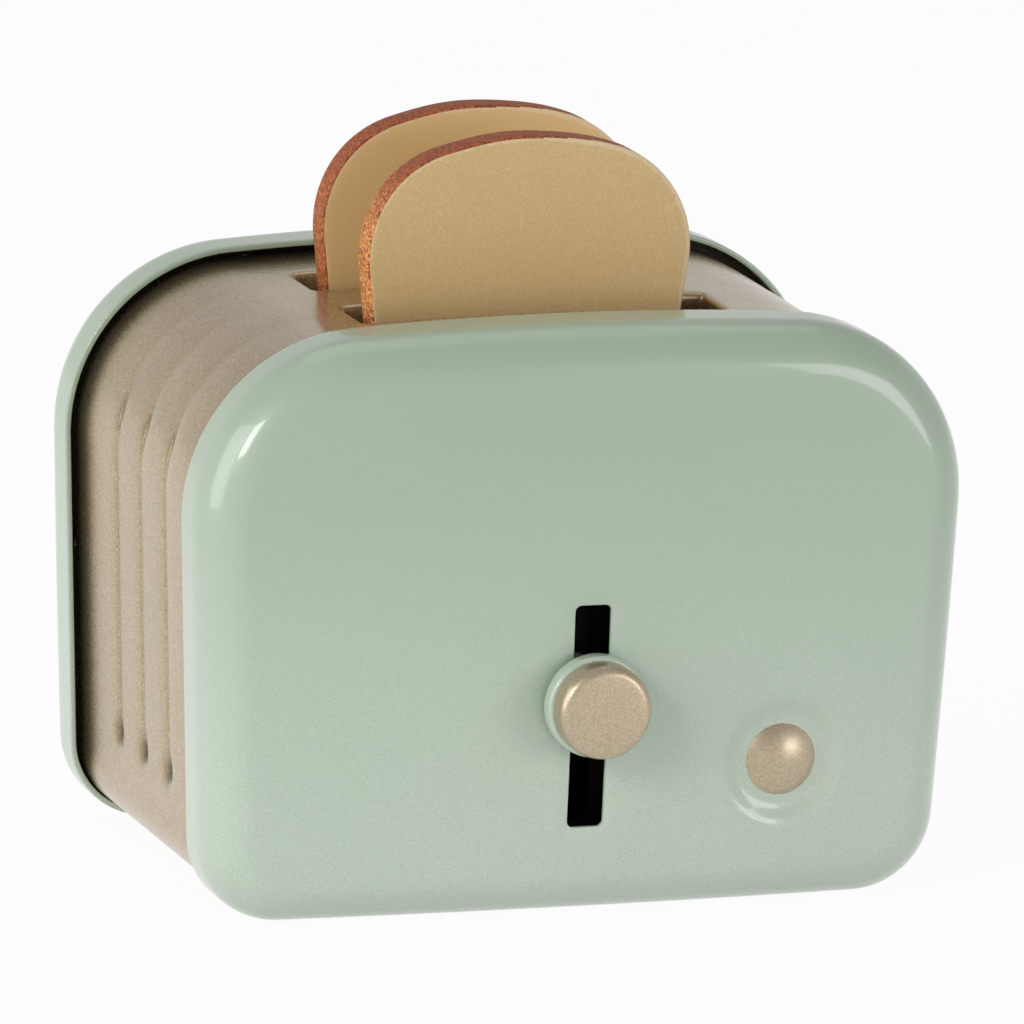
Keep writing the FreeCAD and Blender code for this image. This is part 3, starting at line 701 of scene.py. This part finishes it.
# Rolled tinplate of the inner sheets, the end plates near black as painted shade for the lever slot and the gap
# at the rear rim, and the bright steel parts
TIN = bare_metal("tinplate", (120.0, 2600.0, 2600.0), 1300.0, 0.05, (150, 146, 138), (176, 172, 164),
                 (132, 124, 112), (92, 80, 66), 0.42, 0.10, 0.012, 0.4)
SHADE_BLACK_TIN = bare_metal("tinplate_painted_shade", (2600.0, 2600.0, 120.0), 1500.0, 0.06, (44, 41, 35), (62, 58, 50),
                      (36, 33, 27), (84, 78, 68), 0.52, 0.10, 0.012, 0.4, grainy=True)
STEEL = bare_metal("steel", (300.0, 6000.0, 300.0), 2600.0, 0.03, (178, 178, 176), (206, 206, 203),
                   None, (120, 112, 100), 0.28, 0.08, 0.006, 0.3)
NYLON = moulded_nylon()
CRUMB = bread_face()
CRUST = bread_crust()


# Geometry node helpers

def geometry_tree(name, inputs):
    """Empty geometry node group with a mesh, the named inputs and a finish, and the outputs that bring them."""
    tree = bpy.data.node_groups.new(name, "GeometryNodeTree")
    for label, kind in [("Geometry", "NodeSocketGeometry")] + inputs + [("Finish", "NodeSocketMaterial")]:
        tree.interface.new_socket(name=label, in_out="INPUT", socket_type=kind)
    tree.interface.new_socket(name="Geometry", in_out="OUTPUT", socket_type="NodeSocketGeometry")
    return tree, node(tree, "NodeGroupInput").outputs


def hand_out(tree, geometry, finish):
    """Ends a geometry node group with plain geometry in its finish."""
    real = node(tree, "GeometryNodeRealizeInstances", {0: geometry})
    painted = node(tree, "GeometryNodeSetMaterial", {"Geometry": real.outputs[0], "Material": finish})
    node(tree, "NodeGroupOutput", {0: painted.outputs[0]})


def use_tree(piece, name, tree, values):
    """Puts a geometry node tree on a piece and sets its inputs by their identifiers."""
    made = piece.modifiers.new(name, "NODES")
    made.node_group = tree
    by_name = {item.name: item.identifier for item in tree.interface.items_tree if item.in_out == "INPUT"}
    for label, value in values:
        made[by_name[label]] = value


# Pressed covers

def face_y(x, z):
    """Depth of the domed front face at a point."""
    return FACE_Y + DOME_SPHERE - math.sqrt(DOME_SPHERE ** 2 - x * x - (z - FACE_CENTRE_Z) ** 2)


def dish_drop(radius):
    """How far the dish and its dome lie behind the face at a distance from the middle."""
    t = min(max((DISH_EDGE - radius) / (DISH_EDGE - DISH_FLOOR), 0.0), 1.0)
    drop = DISH_DEPTH * t * t * t * (t * (6 * t - 15) + 10)
    if radius < BOSS_RADIUS:
        bulge = (BOSS_RADIUS ** 2 + BOSS_RISE ** 2) / (2 * BOSS_RISE)
        drop -= math.sqrt(bulge ** 2 - radius ** 2) - (bulge - BOSS_RISE)
    return drop


def cover(name, sign):
    """One pan, sign -1 for the front one, which has the lever slot and the dish."""
    flat, inward = loaf(COVER_HEIGHT, COVER_HALF_FOOT, COVER_HALF_HEAD, COVER_TOP_RADIUS,
                        COVER_FOOT_RADIUS, COVER_CROWN_RADIUS, COVER_COUNTS)
    pan = Pressing()

    def out(x, y, z):
        return (x, y if sign < 0 else -y, z)

    starts = []
    for (x, z), (nx, nz) in zip(flat, inward):
        sx, sz = x + nx * ROLL_RADIUS, z + nz * ROLL_RADIUS
        fall = math.sqrt(DOME_SPHERE ** 2 - sx * sx - (sz - FACE_CENTRE_Z) ** 2)
        slope = (sx * nx + (sz - FACE_CENTRE_Z) * nz) / fall
        centre_y = face_y(sx, sz) + ROLL_RADIUS * math.sqrt(1 + slope * slope)
        starts.append((centre_y, math.atan2(1, -slope)))
    rows = []
    for i in range(WALL_STEPS):
        rows.append(pan.loop([out(x, -RIM_Y + (c + RIM_Y) * i / WALL_STEPS, z)
                              for (x, z), (c, _) in zip(flat, starts)]))
    for i in range(ROLL_STEPS + 1):
        coords = []
        edge = []
        for (x, z), (nx, nz), (c, end) in zip(flat, inward, starts):
            angle = end * i / ROLL_STEPS
            inset = ROLL_RADIUS * (1 - math.cos(angle))
            edge.append((x + nx * inset, z + nz * inset))
            coords.append(out(edge[-1][0], c - ROLL_RADIUS * math.sin(angle), edge[-1][1]))
        rows.append(pan.loop(coords))
    for low, high in zip(rows, rows[1:]):
        pan.loft(low, high)
    loops = [(np.array(edge), rows[-1])]
    if sign < 0:
        slot = rounded_box((0.0, LEVER_SLOT_Z), LEVER_SLOT_WIDTH / 2, LEVER_SLOT_HALF, LEVER_SLOT_CORNER, 0.5)
        loops.append((slot, pan.loop([out(x, face_y(x, z), z) for x, z in slot])))
        circles = []
        for radius in DISH_RADII:
            spots = [(DISH_X + radius * c, DISH_Z + radius * s) for c, s in ROUND]
            circles.append(pan.loop([out(x, face_y(x, z) + dish_drop(radius), z) for x, z in spots]))
            if len(circles) == 1:
                loops.append((np.array(spots), circles[0]))
        for radius, low, high in zip(DISH_RADII, circles, circles[1:]):
            pan.loft(low, high, 1 if radius <= BOSS_RADIUS else 0)
        pan.cap(circles[-1], out(DISH_X, face_y(DISH_X, DISH_Z) + dish_drop(0.0), DISH_Z), 1)
    pan.fill(loops, COVER_SPACING, lambda a, b: out(a, face_y(a, b), b))
    piece = pan.make(name, [MINT, KNOB_PAINT], lambda c: Vector((0, sign, 0)))
    thicken(piece, COVER_SHEET, COVER_CUT_EDGE)
    return finish_mesh(piece)


# Wrap

def crown_z(x):
    radius = COVER_CROWN_RADIUS - WRAP_INSET
    return COVER_HEIGHT - COVER_CROWN_RADIUS + math.sqrt(radius ** 2 - x * x)


def press_flutes():
    """Geometry nodes that press the row of upright flutes into both sides of the wrap."""
    named = [("First", FLUTE_FIRST_Y + MIDDLE_Y), ("Pitch", FLUTE_PITCH), ("Last Index", FLUTE_COUNT - 1),
             ("Crease Width", CREASE_WIDTH), ("Crease Depth", CREASE_DEPTH),
             ("Valley Width", VALLEY_WIDTH), ("Valley Depth", VALLEY_DEPTH),
             ("Low", FLUTE_LOW_Z), ("High", FLUTE_HIGH_Z), ("Pinch", PINCH_DEPTH)]
    tree, given = geometry_tree("press_flutes", [(label, "NodeSocketFloat") for label, _ in named])

    def of(operation, *values):
        return calc(tree, operation, *values)

    def bell(height, *ratios):
        """Soft bump of a height that dies away with each of its distances."""
        total = of("MULTIPLY", ratios[0], ratios[0])
        for ratio in ratios[1:]:
            total = of("ADD", total, of("MULTIPLY", ratio, ratio))
        return of("MULTIPLY", of("EXPONENT", of("MULTIPLY", total, -1.0)), height)

    place = node(tree, "GeometryNodeInputPosition").outputs[0]
    y = of("DIVIDE", axis(tree, place, "Y"), MM)
    z = of("DIVIDE", axis(tree, place, "Z"), MM)
    index = of("ROUND", of("DIVIDE", of("SUBTRACT", given["First"], y), given["Pitch"]))
    index = of("MINIMUM", of("MAXIMUM", index, 0.0), given["Last Index"])
    middle = of("SUBTRACT", given["First"], of("MULTIPLY", index, given["Pitch"]))
    aside = of("ABSOLUTE", of("SUBTRACT", y, middle))
    to_low = of("SUBTRACT", z, given["Low"])
    to_high = of("SUBTRACT", z, given["High"])
    over = of("MAXIMUM", to_high, 0.0)
    under = of("MAXIMUM", of("SUBTRACT", given["Low"], z), 0.0)
    crease = bell(given["Crease Depth"], of("DIVIDE", aside, given["Crease Width"]),
                  of("MULTIPLY", over, CREASE_END_ABOVE), of("MULTIPLY", under, CREASE_END_BELOW))
    valley = bell(given["Valley Depth"], of("DIVIDE", aside, given["Valley Width"]),
                  of("MULTIPLY", over, VALLEY_END_ABOVE), of("MULTIPLY", under, VALLEY_END_BELOW))
    low_nip = bell(given["Pinch"], of("DIVIDE", aside, LOW_NIP[0]), of("DIVIDE", to_low, LOW_NIP[1]))
    high_nip = bell(of("MULTIPLY", given["Pinch"], HIGH_NIP_SHARE), of("DIVIDE", aside, HIGH_NIP[0]),
                    of("DIVIDE", to_high, HIGH_NIP[1]))
    # Painted shade: how dark each point is painted for the shade in the flutes' pressed ends.
    nip_shade = of("DIVIDE", of("ADD", low_nip, of("MULTIPLY", high_nip, HIGH_NIP_SHADE)), given["Pinch"])
    press = of("ADD", of("ADD", crease, valley), of("ADD", low_nip, high_nip))
    push = node(tree, "ShaderNodeVectorMath", {0: node(tree, "GeometryNodeInputNormal").outputs[0],
                                               "Scale": of("MULTIPLY", press, -MM)}, operation="SCALE")
    moved = node(tree, "GeometryNodeSetPosition", {"Geometry": given["Geometry"], "Offset": push.outputs[0]})
    kept = node(tree, "GeometryNodeStoreNamedAttribute", {"Name": "pressed", "Geometry": moved.outputs[0],
                                                          "Value": nip_shade}, data_type="FLOAT", domain="POINT")
    hand_out(tree, kept.outputs[0], given["Finish"])
    return tree, named


def wrap_tabs():
    """The tabs at both ends of the wrap, which pass through the end plates."""
    made = Pressing()
    lean = math.hypot(COVER_HALF_HEAD - COVER_HALF_FOOT, COVER_HEIGHT) / COVER_HEIGHT
    mid_sheet = WRAP_INSET + WRAP_SHEET / 2
    side_x = COVER_HALF_FOOT + (COVER_HALF_HEAD - COVER_HALF_FOOT) * TAB_Z / COVER_HEIGHT - mid_sheet * lean
    top_z = crown_z(TAB_X) - WRAP_SHEET / 2
    half = TAB_THICK / 2
    for end in (-1, 1):
        y0, y1 = sorted((end * (WRAP_END_Y - TAB_SUNK), end * (WRAP_END_Y + TAB_REACH)))
        for sign in (-1, 1):
            made.box((sign * TAB_X - TAB_HALF, y0, top_z - half), (sign * TAB_X + TAB_HALF, y1, top_z + half))
            made.box((sign * side_x - half, y0, TAB_Z - TAB_HALF), (sign * side_x + half, y1, TAB_Z + TAB_HALF))
    return made.make("wrap_tabs", [WRAP_PAINT], lambda c: Vector((0, c.y - MIDDLE_Y * MM, 0)))


def slot_lip(wrap, centre_y):
    """Rolled and turned-down lip of a bread slot. Returns its outer edge, for the fill of the top."""
    first = rounded_box((0.0, centre_y), SLOT_HALF_LENGTH + LIP_ROLL, SLOT_HALF_WIDTH + LIP_ROLL,
                        SLOT_CORNER + LIP_ROLL, 0.8)
    middle = np.array([0.0, centre_y])
    core = np.array([SLOT_HALF_LENGTH, SLOT_HALF_WIDTH]) - SLOT_CORNER
    anchor = np.clip(first - middle, -core, core) + middle
    way = (first - anchor) / (SLOT_CORNER + LIP_ROLL)
    rows = []
    for i in range(LIP_STEPS + 1):
        angle = math.pi / 2 * i / LIP_STEPS
        spots = anchor + way * (SLOT_CORNER + LIP_ROLL * (1 - math.sin(angle)))
        drop = LIP_ROLL * (1 - math.cos(angle))
        rows.append(wrap.loop([(x, y, crown_z(x) - drop) for x, y in spots]))
    low = crown_z(SLOT_HALF_LENGTH) - WRAP_SHEET - LIP_DROP
    for i in range(1, LIP_WALL_STEPS + 1):
        share = i / LIP_WALL_STEPS
        rows.append(wrap.loop([(x, y, (crown_z(x) - LIP_ROLL) * (1 - share) + low * share) for x, y in spots]))
    for a, b in zip(rows, rows[1:]):
        wrap.loft(a, b)
    return first, rows[0]


def body_wrap():
    """Sheet round the toy with flutes in its sides and two lipped slots in its top."""
    flat, inward = loaf(COVER_HEIGHT, COVER_HALF_FOOT, COVER_HALF_HEAD, COVER_TOP_RADIUS,
                        WRAP_FOOT_RADIUS, COVER_CROWN_RADIUS, WRAP_COUNTS)
    track = flat + inward * WRAP_INSET
    half_track = track[:sum(WRAP_COUNTS[:4]) + 1]
    side = [np.array([WRAP_OPEN_HALF, WRAP_INSET])]
    side += [p for i, p in enumerate(half_track) if i >= WRAP_COUNTS[0] or p[0] > WRAP_OPEN_HALF + 0.05]
    plain = [-WRAP_END_Y + 2 * WRAP_END_Y * i / PLAIN_STEPS for i in range(PLAIN_STEPS + 1)]
    flutes = [FLUTE_FIRST_Y - FLUTE_PITCH * i for i in range(FLUTE_COUNT)]
    depths = [y for y in plain if min(abs(y - f) for f in flutes) > FLUTE_CLEAR]
    depths = sorted(depths + [f + FLUTE_STEP * i for f in flutes for i in range(-FLUTE_STEPS, FLUTE_STEPS + 1)])
    wrap = Pressing()
    for sign in (-1, 1):
        rows = [wrap.loop([(sign * x, y, z) for y in depths]) for x, z in side]
        for low, high in zip(rows, rows[1:]):
            wrap.loft(low, high, closed=False)
    end_x = side[-1][0]
    xs = [-end_x + 2 * end_x * i / TOP_STEPS for i in range(TOP_STEPS + 1)]
    edge = [(x, -WRAP_END_Y) for x in xs] + [(end_x, y) for y in depths[1:]]
    edge += [(x, WRAP_END_Y) for x in xs[::-1][1:]] + [(-end_x, y) for y in depths[::-1][1:-1]]
    loops = [(np.array(edge), wrap.loop([(x, y, crown_z(x)) for x, y in edge]))]
    loops += [slot_lip(wrap, centre_y) for centre_y in (-SLOT_OFFSET_Y, SLOT_OFFSET_Y)]
    wrap.fill(loops, WRAP_SPACING, lambda x, y: (x, y, crown_z(x)))
    middle = Vector((0, 0, FACE_CENTRE_Z * MM))
    piece = wrap.make("body_wrap_look", [WRAP_PAINT], lambda c: (c - middle) * Vector((1, 0, 1)), merge=0.01)
    tree, named = press_flutes()
    use_tree(piece, "flutes", tree, named + [("Finish", WRAP_PAINT)])
    thicken(piece, WRAP_SHEET, WRAP_CUT_EDGE)
    finish_mesh(piece)
    tabs = wrap_tabs()
    both = bmesh.new()
    both.from_mesh(piece.data)
    both.from_mesh(tabs.data)
    both.to_mesh(piece.data)
    both.free()
    bpy.data.objects.remove(tabs)
    piece.data.set_sharp_from_angle(angle=SHARP_ANGLE)
    return piece


# Turned knob

def turned(name, material, profile):
    """Round piece about the lever's axis, closed at both ends, from (radius, y) pairs."""
    made = Pressing()
    rows = [made.loop([(r * c, y, LEVER_REST_Z + r * s) for c, s in ROUND]) for r, y in profile]
    for low, high in zip(rows, rows[1:]):
        made.loft(low, high)
    for row, (_, y) in ((rows[0], profile[0]), (rows[-1], profile[-1])):
        made.cap(row, (0.0, y, LEVER_REST_Z))
    middle = Vector((0.0, (sum(y for _, y in profile) / len(profile) + MIDDLE_Y) * MM, LEVER_REST_Z * MM))
    piece = made.make(name, [material], lambda c: c - middle)
    piece.data.set_sharp_from_angle(angle=SHARP_ANGLE)
    return piece


def arc(radius, centre, begin, end, steps):
    """Points of a profile arc about (radius, y), angles in degrees from outwards towards the front."""
    found = []
    for i in range(steps + 1):
        angle = math.radians(begin + (end - begin) * i / steps)
        found.append((centre[0] + radius * math.cos(angle), centre[1] - radius * math.sin(angle)))
    return found


def knob():
    """Champagne cap with a rounded edge and a hardly domed face, and the mint flange behind it."""
    back = FACE_Y - KNOB_GAP
    front = back - SKIRT_THICK
    skirt = [(KNOB_INNER, back), (SKIRT_RADIUS - SKIRT_BACK_EDGE, back)]
    skirt += arc(SKIRT_BACK_EDGE, (SKIRT_RADIUS - SKIRT_BACK_EDGE, back - SKIRT_BACK_EDGE), -80, 0, 5)
    skirt += arc(SKIRT_FRONT_EDGE, (SKIRT_RADIUS - SKIRT_FRONT_EDGE, front + SKIRT_FRONT_EDGE), 0, 90, 6)
    skirt += [(SKIRT_FACE, front), (KNOB_INNER, front)]
    tip = front - CAP_THICK
    cap = [(KNOB_INNER, front), (CAP_RADIUS - CAP_FOOT, front), (CAP_RADIUS, front - CAP_FOOT_RISE)]
    cap += arc(CAP_EDGE, (CAP_RADIUS - CAP_EDGE, tip + CAP_STEP + CAP_EDGE), 0, 84, 12)
    cap += [(r, tip + CAP_DOME * (r / (CAP_RADIUS - CAP_EDGE)) ** 2) for r in CAP_RADII]
    return [turned("knob_skirt_look", MINT, skirt), turned("knob_cap_look", KNOB_PAINT, cap)]


# Bread

def bread(name, centre_x, centre_y):
    """One slice: two crumb faces and a crust round the edge, its outline a little uneven."""
    flat, inward = loaf(SLICE_HEIGHT, SLICE_HALF_FOOT, SLICE_HALF_HEAD, SLICE_TOP_RADIUS,
                        SLICE_FOOT_RADIUS, SLICE_CROWN_RADIUS, SLICE_COUNTS, SLICE_FOOT_Z)
    count = len(flat)
    sway = np.array([SWAY_MEAN + SWAY_SWING * math.sin(SWAY_WAVES * math.tau * i / count + centre_y)
                     for i in range(count)])
    made = Pressing()
    half = SLICE_THICKNESS / 2
    rings = []
    for i in range(SLICE_EDGE_STEPS + 1):
        angle = math.pi / 2 * i / SLICE_EDGE_STEPS
        rings.append((SLICE_EDGE * (1 - math.sin(angle)), -half + SLICE_EDGE * (1 - math.cos(angle))))
    rings += [(0.0, -half / 3), (0.0, half / 3)]
    rings += [(inset, -y) for inset, y in rings[SLICE_EDGE_STEPS::-1]]
    rows = []
    for inset, y in rings:
        spots = flat + inward * (inset + sway)[:, None] + (centre_x, 0)
        rows.append(made.loop([(x, centre_y + y, z) for x, z in spots]))
    for k, (low, high) in enumerate(zip(rows, rows[1:])):
        for i in range(count):
            j = (i + 1) % count
            bare = k < SLICE_EDGE_STEPS and flat[i][0] > BARE_EDGE_X + BARE_TAPER * k
            made.face((low[i], low[j], high[j], high[i]), 0 if bare else 1)
    inner = flat + inward * (SLICE_EDGE + SLICE_MARGIN) + (centre_x, 0)
    for row, y in ((rows[0], -half), (rows[-1], half)):
        margin = made.loop([(x, centre_y + y, z) for x, z in inner])
        made.loft(row, margin)
        made.fill([(inner, margin)], SLICE_SPACING, lambda a, b: (a, centre_y + y, b))
    middle = Vector((centre_x * MM, (centre_y + MIDDLE_Y) * MM, (SLICE_FOOT_Z + SLICE_HEIGHT / 2) * MM))
    piece = made.make(name, [CRUMB, CRUST], lambda c: c - middle)
    mesh = piece.data
    spots = np.empty(len(mesh.vertices) * 3)
    mesh.vertices.foreach_get("co", spots)
    spots = spots.reshape(-1, 3)[:, ::2] / MM - (centre_x, 0)
    gap = np.concatenate([np.sqrt(((part[:, None, :] - flat[None]) ** 2).sum(2)).min(1)
                          for part in np.array_split(spots, 12)])
    mesh.attributes.new("from_edge", "FLOAT", "POINT").data.foreach_set("value", np.minimum(gap, 1.0))
    mesh.set_sharp_from_angle(angle=SHARP_ANGLE)
    return piece


# Rivets

def rivet_tree():
    """Geometry nodes that set a two-headed rivet on each point."""
    sizes = ("Head Radius", "Head Height", "Shank Radius", "Grip")
    tree, given = geometry_tree("set_rivets", [(label, "NodeSocketFloat") for label in sizes]
                                + [("Turn", "NodeSocketVector")])
    whole = node(tree, "GeometryNodeJoinGeometry")
    half = calc(tree, "MULTIPLY", given["Grip"], 0.5)
    for sign in (-1.0, 1.0):
        ball = node(tree, "GeometryNodeMeshUVSphere", {"Segments": 32, "Rings": 16,
                                                       "Radius": given["Head Radius"]})
        flatness = calc(tree, "DIVIDE", given["Head Height"], given["Head Radius"])
        size = node(tree, "ShaderNodeCombineXYZ", {0: 1.0, 1: 1.0, 2: flatness})
        lift = node(tree, "ShaderNodeCombineXYZ", {2: calc(tree, "MULTIPLY", half, sign)})
        shaped = node(tree, "GeometryNodeTransform", {"Geometry": ball.outputs[0], "Scale": size.outputs[0],
                                                      "Translation": lift.outputs[0]})
        feed(tree, shaped.outputs[0], whole.inputs[0])
    shank = node(tree, "GeometryNodeMeshCylinder", {"Vertices": 32, "Radius": given["Shank Radius"],
                                                    "Depth": given["Grip"]})
    feed(tree, shank.outputs[0], whole.inputs[0])
    turn = node(tree, "FunctionNodeEulerToRotation", {0: given["Turn"]})
    sockets = {"Points": given["Geometry"], "Instance": whole.outputs[0], "Rotation": turn.outputs[0]}
    spread = node(tree, "GeometryNodeInstanceOnPoints", sockets)
    hand_out(tree, spread.outputs[0], given["Finish"])
    return tree


def rivets(name, tree, cad_node, along):
    """Rivets at the corners of the box of the CAD node that they stand for."""
    low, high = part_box(cad_node)
    radius = RIVET_RADIUS * MM
    head = RIVET_HEAD * MM
    if along == "Z":
        grip = high.z - low.z - 2 * head
        inset = radius
        turn = (0.0, 0.0, 0.0)
    else:
        grip = TRAY_RIVET_GRIP * MM
        inset = head + grip / 2
        turn = (0.0, math.pi / 2, 0.0)
    spots = [(x, y, (low.z + high.z) / 2) for x in (low.x + inset, high.x - inset)
             for y in (low.y + radius, high.y - radius)]
    mesh = bpy.data.meshes.new(name)
    mesh.from_pydata(spots, [], [])
    piece = placed(name, mesh)
    use_tree(piece, "rivets", tree, [("Head Radius", radius), ("Head Height", head),
                                     ("Shank Radius", RIVET_SHANK * MM), ("Grip", grip), ("Turn", turn),
                                     ("Finish", STEEL)])
    return finish_mesh(piece)


def stand_for(piece, cad_node, body):
    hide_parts(cad_node)
    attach(piece, body)


stand_for(cover("front_cover_look", -1), "front_cover", "shell")
stand_for(cover("rear_cover_look", 1), "rear_cover", "shell")
stand_for(body_wrap(), "body_wrap", "shell")
knob_skirt, knob_cap = knob()
stand_for(knob_skirt, "knob_skirt", "carriage")
stand_for(knob_cap, "knob_cap", "carriage")
stand_for(bread("front_slice_look", FRONT_SLICE_X, -SLOT_OFFSET_Y), "front_slice", "front_bread")
stand_for(bread("rear_slice_look", REAR_SLICE_X, SLOT_OFFSET_Y), "rear_slice", "rear_bread")
RIVET_TREE = rivet_tree()
stand_for(rivets("base_rivets_look", RIVET_TREE, "base_rivets", "Z"), "base_rivets", "shell")
stand_for(rivets("tray_rivets_look", RIVET_TREE, "tray_rivets", "X"), "tray_rivets", "carriage")

CAD_FINISHES = {
    # The end plates are near black as painted shade for the lever slot and the gap at the rear rim.
    "front_end_plate": SHADE_BLACK_TIN, "rear_end_plate": SHADE_BLACK_TIN, "base_plate": TIN,
    "front_bread_channel": TIN, "rear_bread_channel": TIN, "carriage_bracket": TIN,
    "front_bread_tray": TIN, "rear_bread_tray": TIN, "guide_shoe": NYLON,
    "friction_spring": STEEL, "lever_stem": STEEL, "stem_spacer": STEEL, "stem_clip": STEEL,
}
for cad_node, material in CAD_FINISHES.items():
    for slot in frame["nodes"][cad_node].material_slots:
        slot.material = material


# Studio: floor, lights, world and camera

FLOOR_REACH = 2.5
AIM = (0, 0.002, 0.025)
# Name, place, width, height and power of each lamp
LAMPS = [
    ("key_left", (-0.40, -0.34, 0.27), 0.12, 0.16, 0.74),
    ("side_left", (-0.50, -0.12, 0.16), 0.30, 0.40, 1.10),
    ("fill_right", (0.36, -0.46, 0.05), 0.26, 0.30, 0.95),
    ("top", (0.05, 0.15, 0.50), 0.40, 0.30, 0.25),
]
# The camera fitted to the photo: focal length in picture widths of 1024, its axes and its place
FOCAL = 13419.79 / 1024
SENSOR = 36.0
CAMERA_AXES = ((0.945939, -0.322565, 0.033933), (0.040912, 0.222448, 0.974086),
               (-0.321754, -0.920037, 0.223619))
CAMERA_PLACE = (-0.334532, -0.957003, 0.259965)


def mix_shaders(tree, share, first, second):
    return node(tree, "ShaderNodeMixShader", {0: share, 1: first, 2: second}).outputs[0]


def background(tree, strength, **tint):
    return node(tree, "ShaderNodeBackground", {"Strength": strength, **tint}).outputs[0]


def floor():
    """White paper that glows for camera, mirror and glass rays and is plain for the rest."""
    material = bpy.data.materials.new("studio_floor")
    material.use_nodes = True
    tree = material.node_tree
    tree.nodes.clear()
    paper = node(tree, "ShaderNodeBsdfDiffuse", {"Color": (0.86, 0.86, 0.86, 1.0)})
    glow = node(tree, "ShaderNodeEmission", {"Color": (1.0, 1.0, 1.0, 1.0)})
    path = node(tree, "ShaderNodeLightPath").outputs
    seen = calc(tree, "MAXIMUM", path["Is Camera Ray"], path["Is Glossy Ray"])
    seen = calc(tree, "MAXIMUM", seen, path["Is Transmission Ray"])
    mixed = mix_shaders(tree, calc(tree, "MULTIPLY", seen, 0.95), paper.outputs[0], glow.outputs[0])
    node(tree, "ShaderNodeOutputMaterial", {"Surface": mixed})
    mesh = bpy.data.meshes.new("studio_floor")
    corners = [(sx * FLOOR_REACH, sy * FLOOR_REACH, 0) for sx, sy in ((-1, -1), (1, -1), (1, 1), (-1, 1))]
    mesh.from_pydata(corners, [], [(0, 1, 2, 3)])
    mesh.materials.append(material)
    placed("studio_floor", mesh)


def world():
    """Soft sky for plain rays, a stronger one in mirrors, and an even backdrop for the camera."""
    made = bpy.data.worlds.new("studio_world")
    made.use_nodes = True
    tree = made.node_tree
    tree.nodes.clear()
    path = node(tree, "ShaderNodeLightPath").outputs
    up = axis(tree, node(tree, "ShaderNodeTexCoord").outputs["Generated"], "Z")
    soft = background(tree, ramp_between(tree, up, 0.0, 0.8, 0.66, 0.40), Color=(0.94, 0.97, 1.0, 1.0))
    mirrored = background(tree, ramp_between(tree, up, 0.15, 0.75, 0.95, 0.42))
    glossy = calc(tree, "MAXIMUM", path["Is Glossy Ray"], path["Is Transmission Ray"])
    sky = mix_shaders(tree, glossy, soft, mirrored)
    seen = mix_shaders(tree, path["Is Camera Ray"], sky, background(tree, 1.0))
    node(tree, "ShaderNodeOutputWorld", {"Surface": seen})
    bpy.context.scene.world = made


def camera():
    data = bpy.data.cameras.new("photo_camera")
    data.sensor_width = SENSOR
    data.lens = FOCAL * SENSOR
    data.clip_start = 0.05
    data.clip_end = 20.0
    data.dof.use_dof = False
    made = placed("photo_camera", data)
    turn = Matrix(CAMERA_AXES).transposed()
    made.matrix_world = Matrix.Translation(CAMERA_PLACE) @ turn.to_4x4()
    bpy.context.scene.camera = made


def lamp(name, place, width, height, power):
    """Oblong area lamp that looks at the toy."""
    data = bpy.data.lights.new(name, "AREA")
    data.shape = "RECTANGLE"
    data.size = width
    data.size_y = height
    data.energy = power
    made = placed(name, data)
    made.location = place
    made.rotation_euler = (Vector(AIM) - Vector(place)).to_track_quat("-Z", "Y").to_euler()


floor()
world()
camera()
for one_lamp in LAMPS:
    lamp(*one_lamp)
bpy.context.scene.view_settings.view_transform = "Standard"
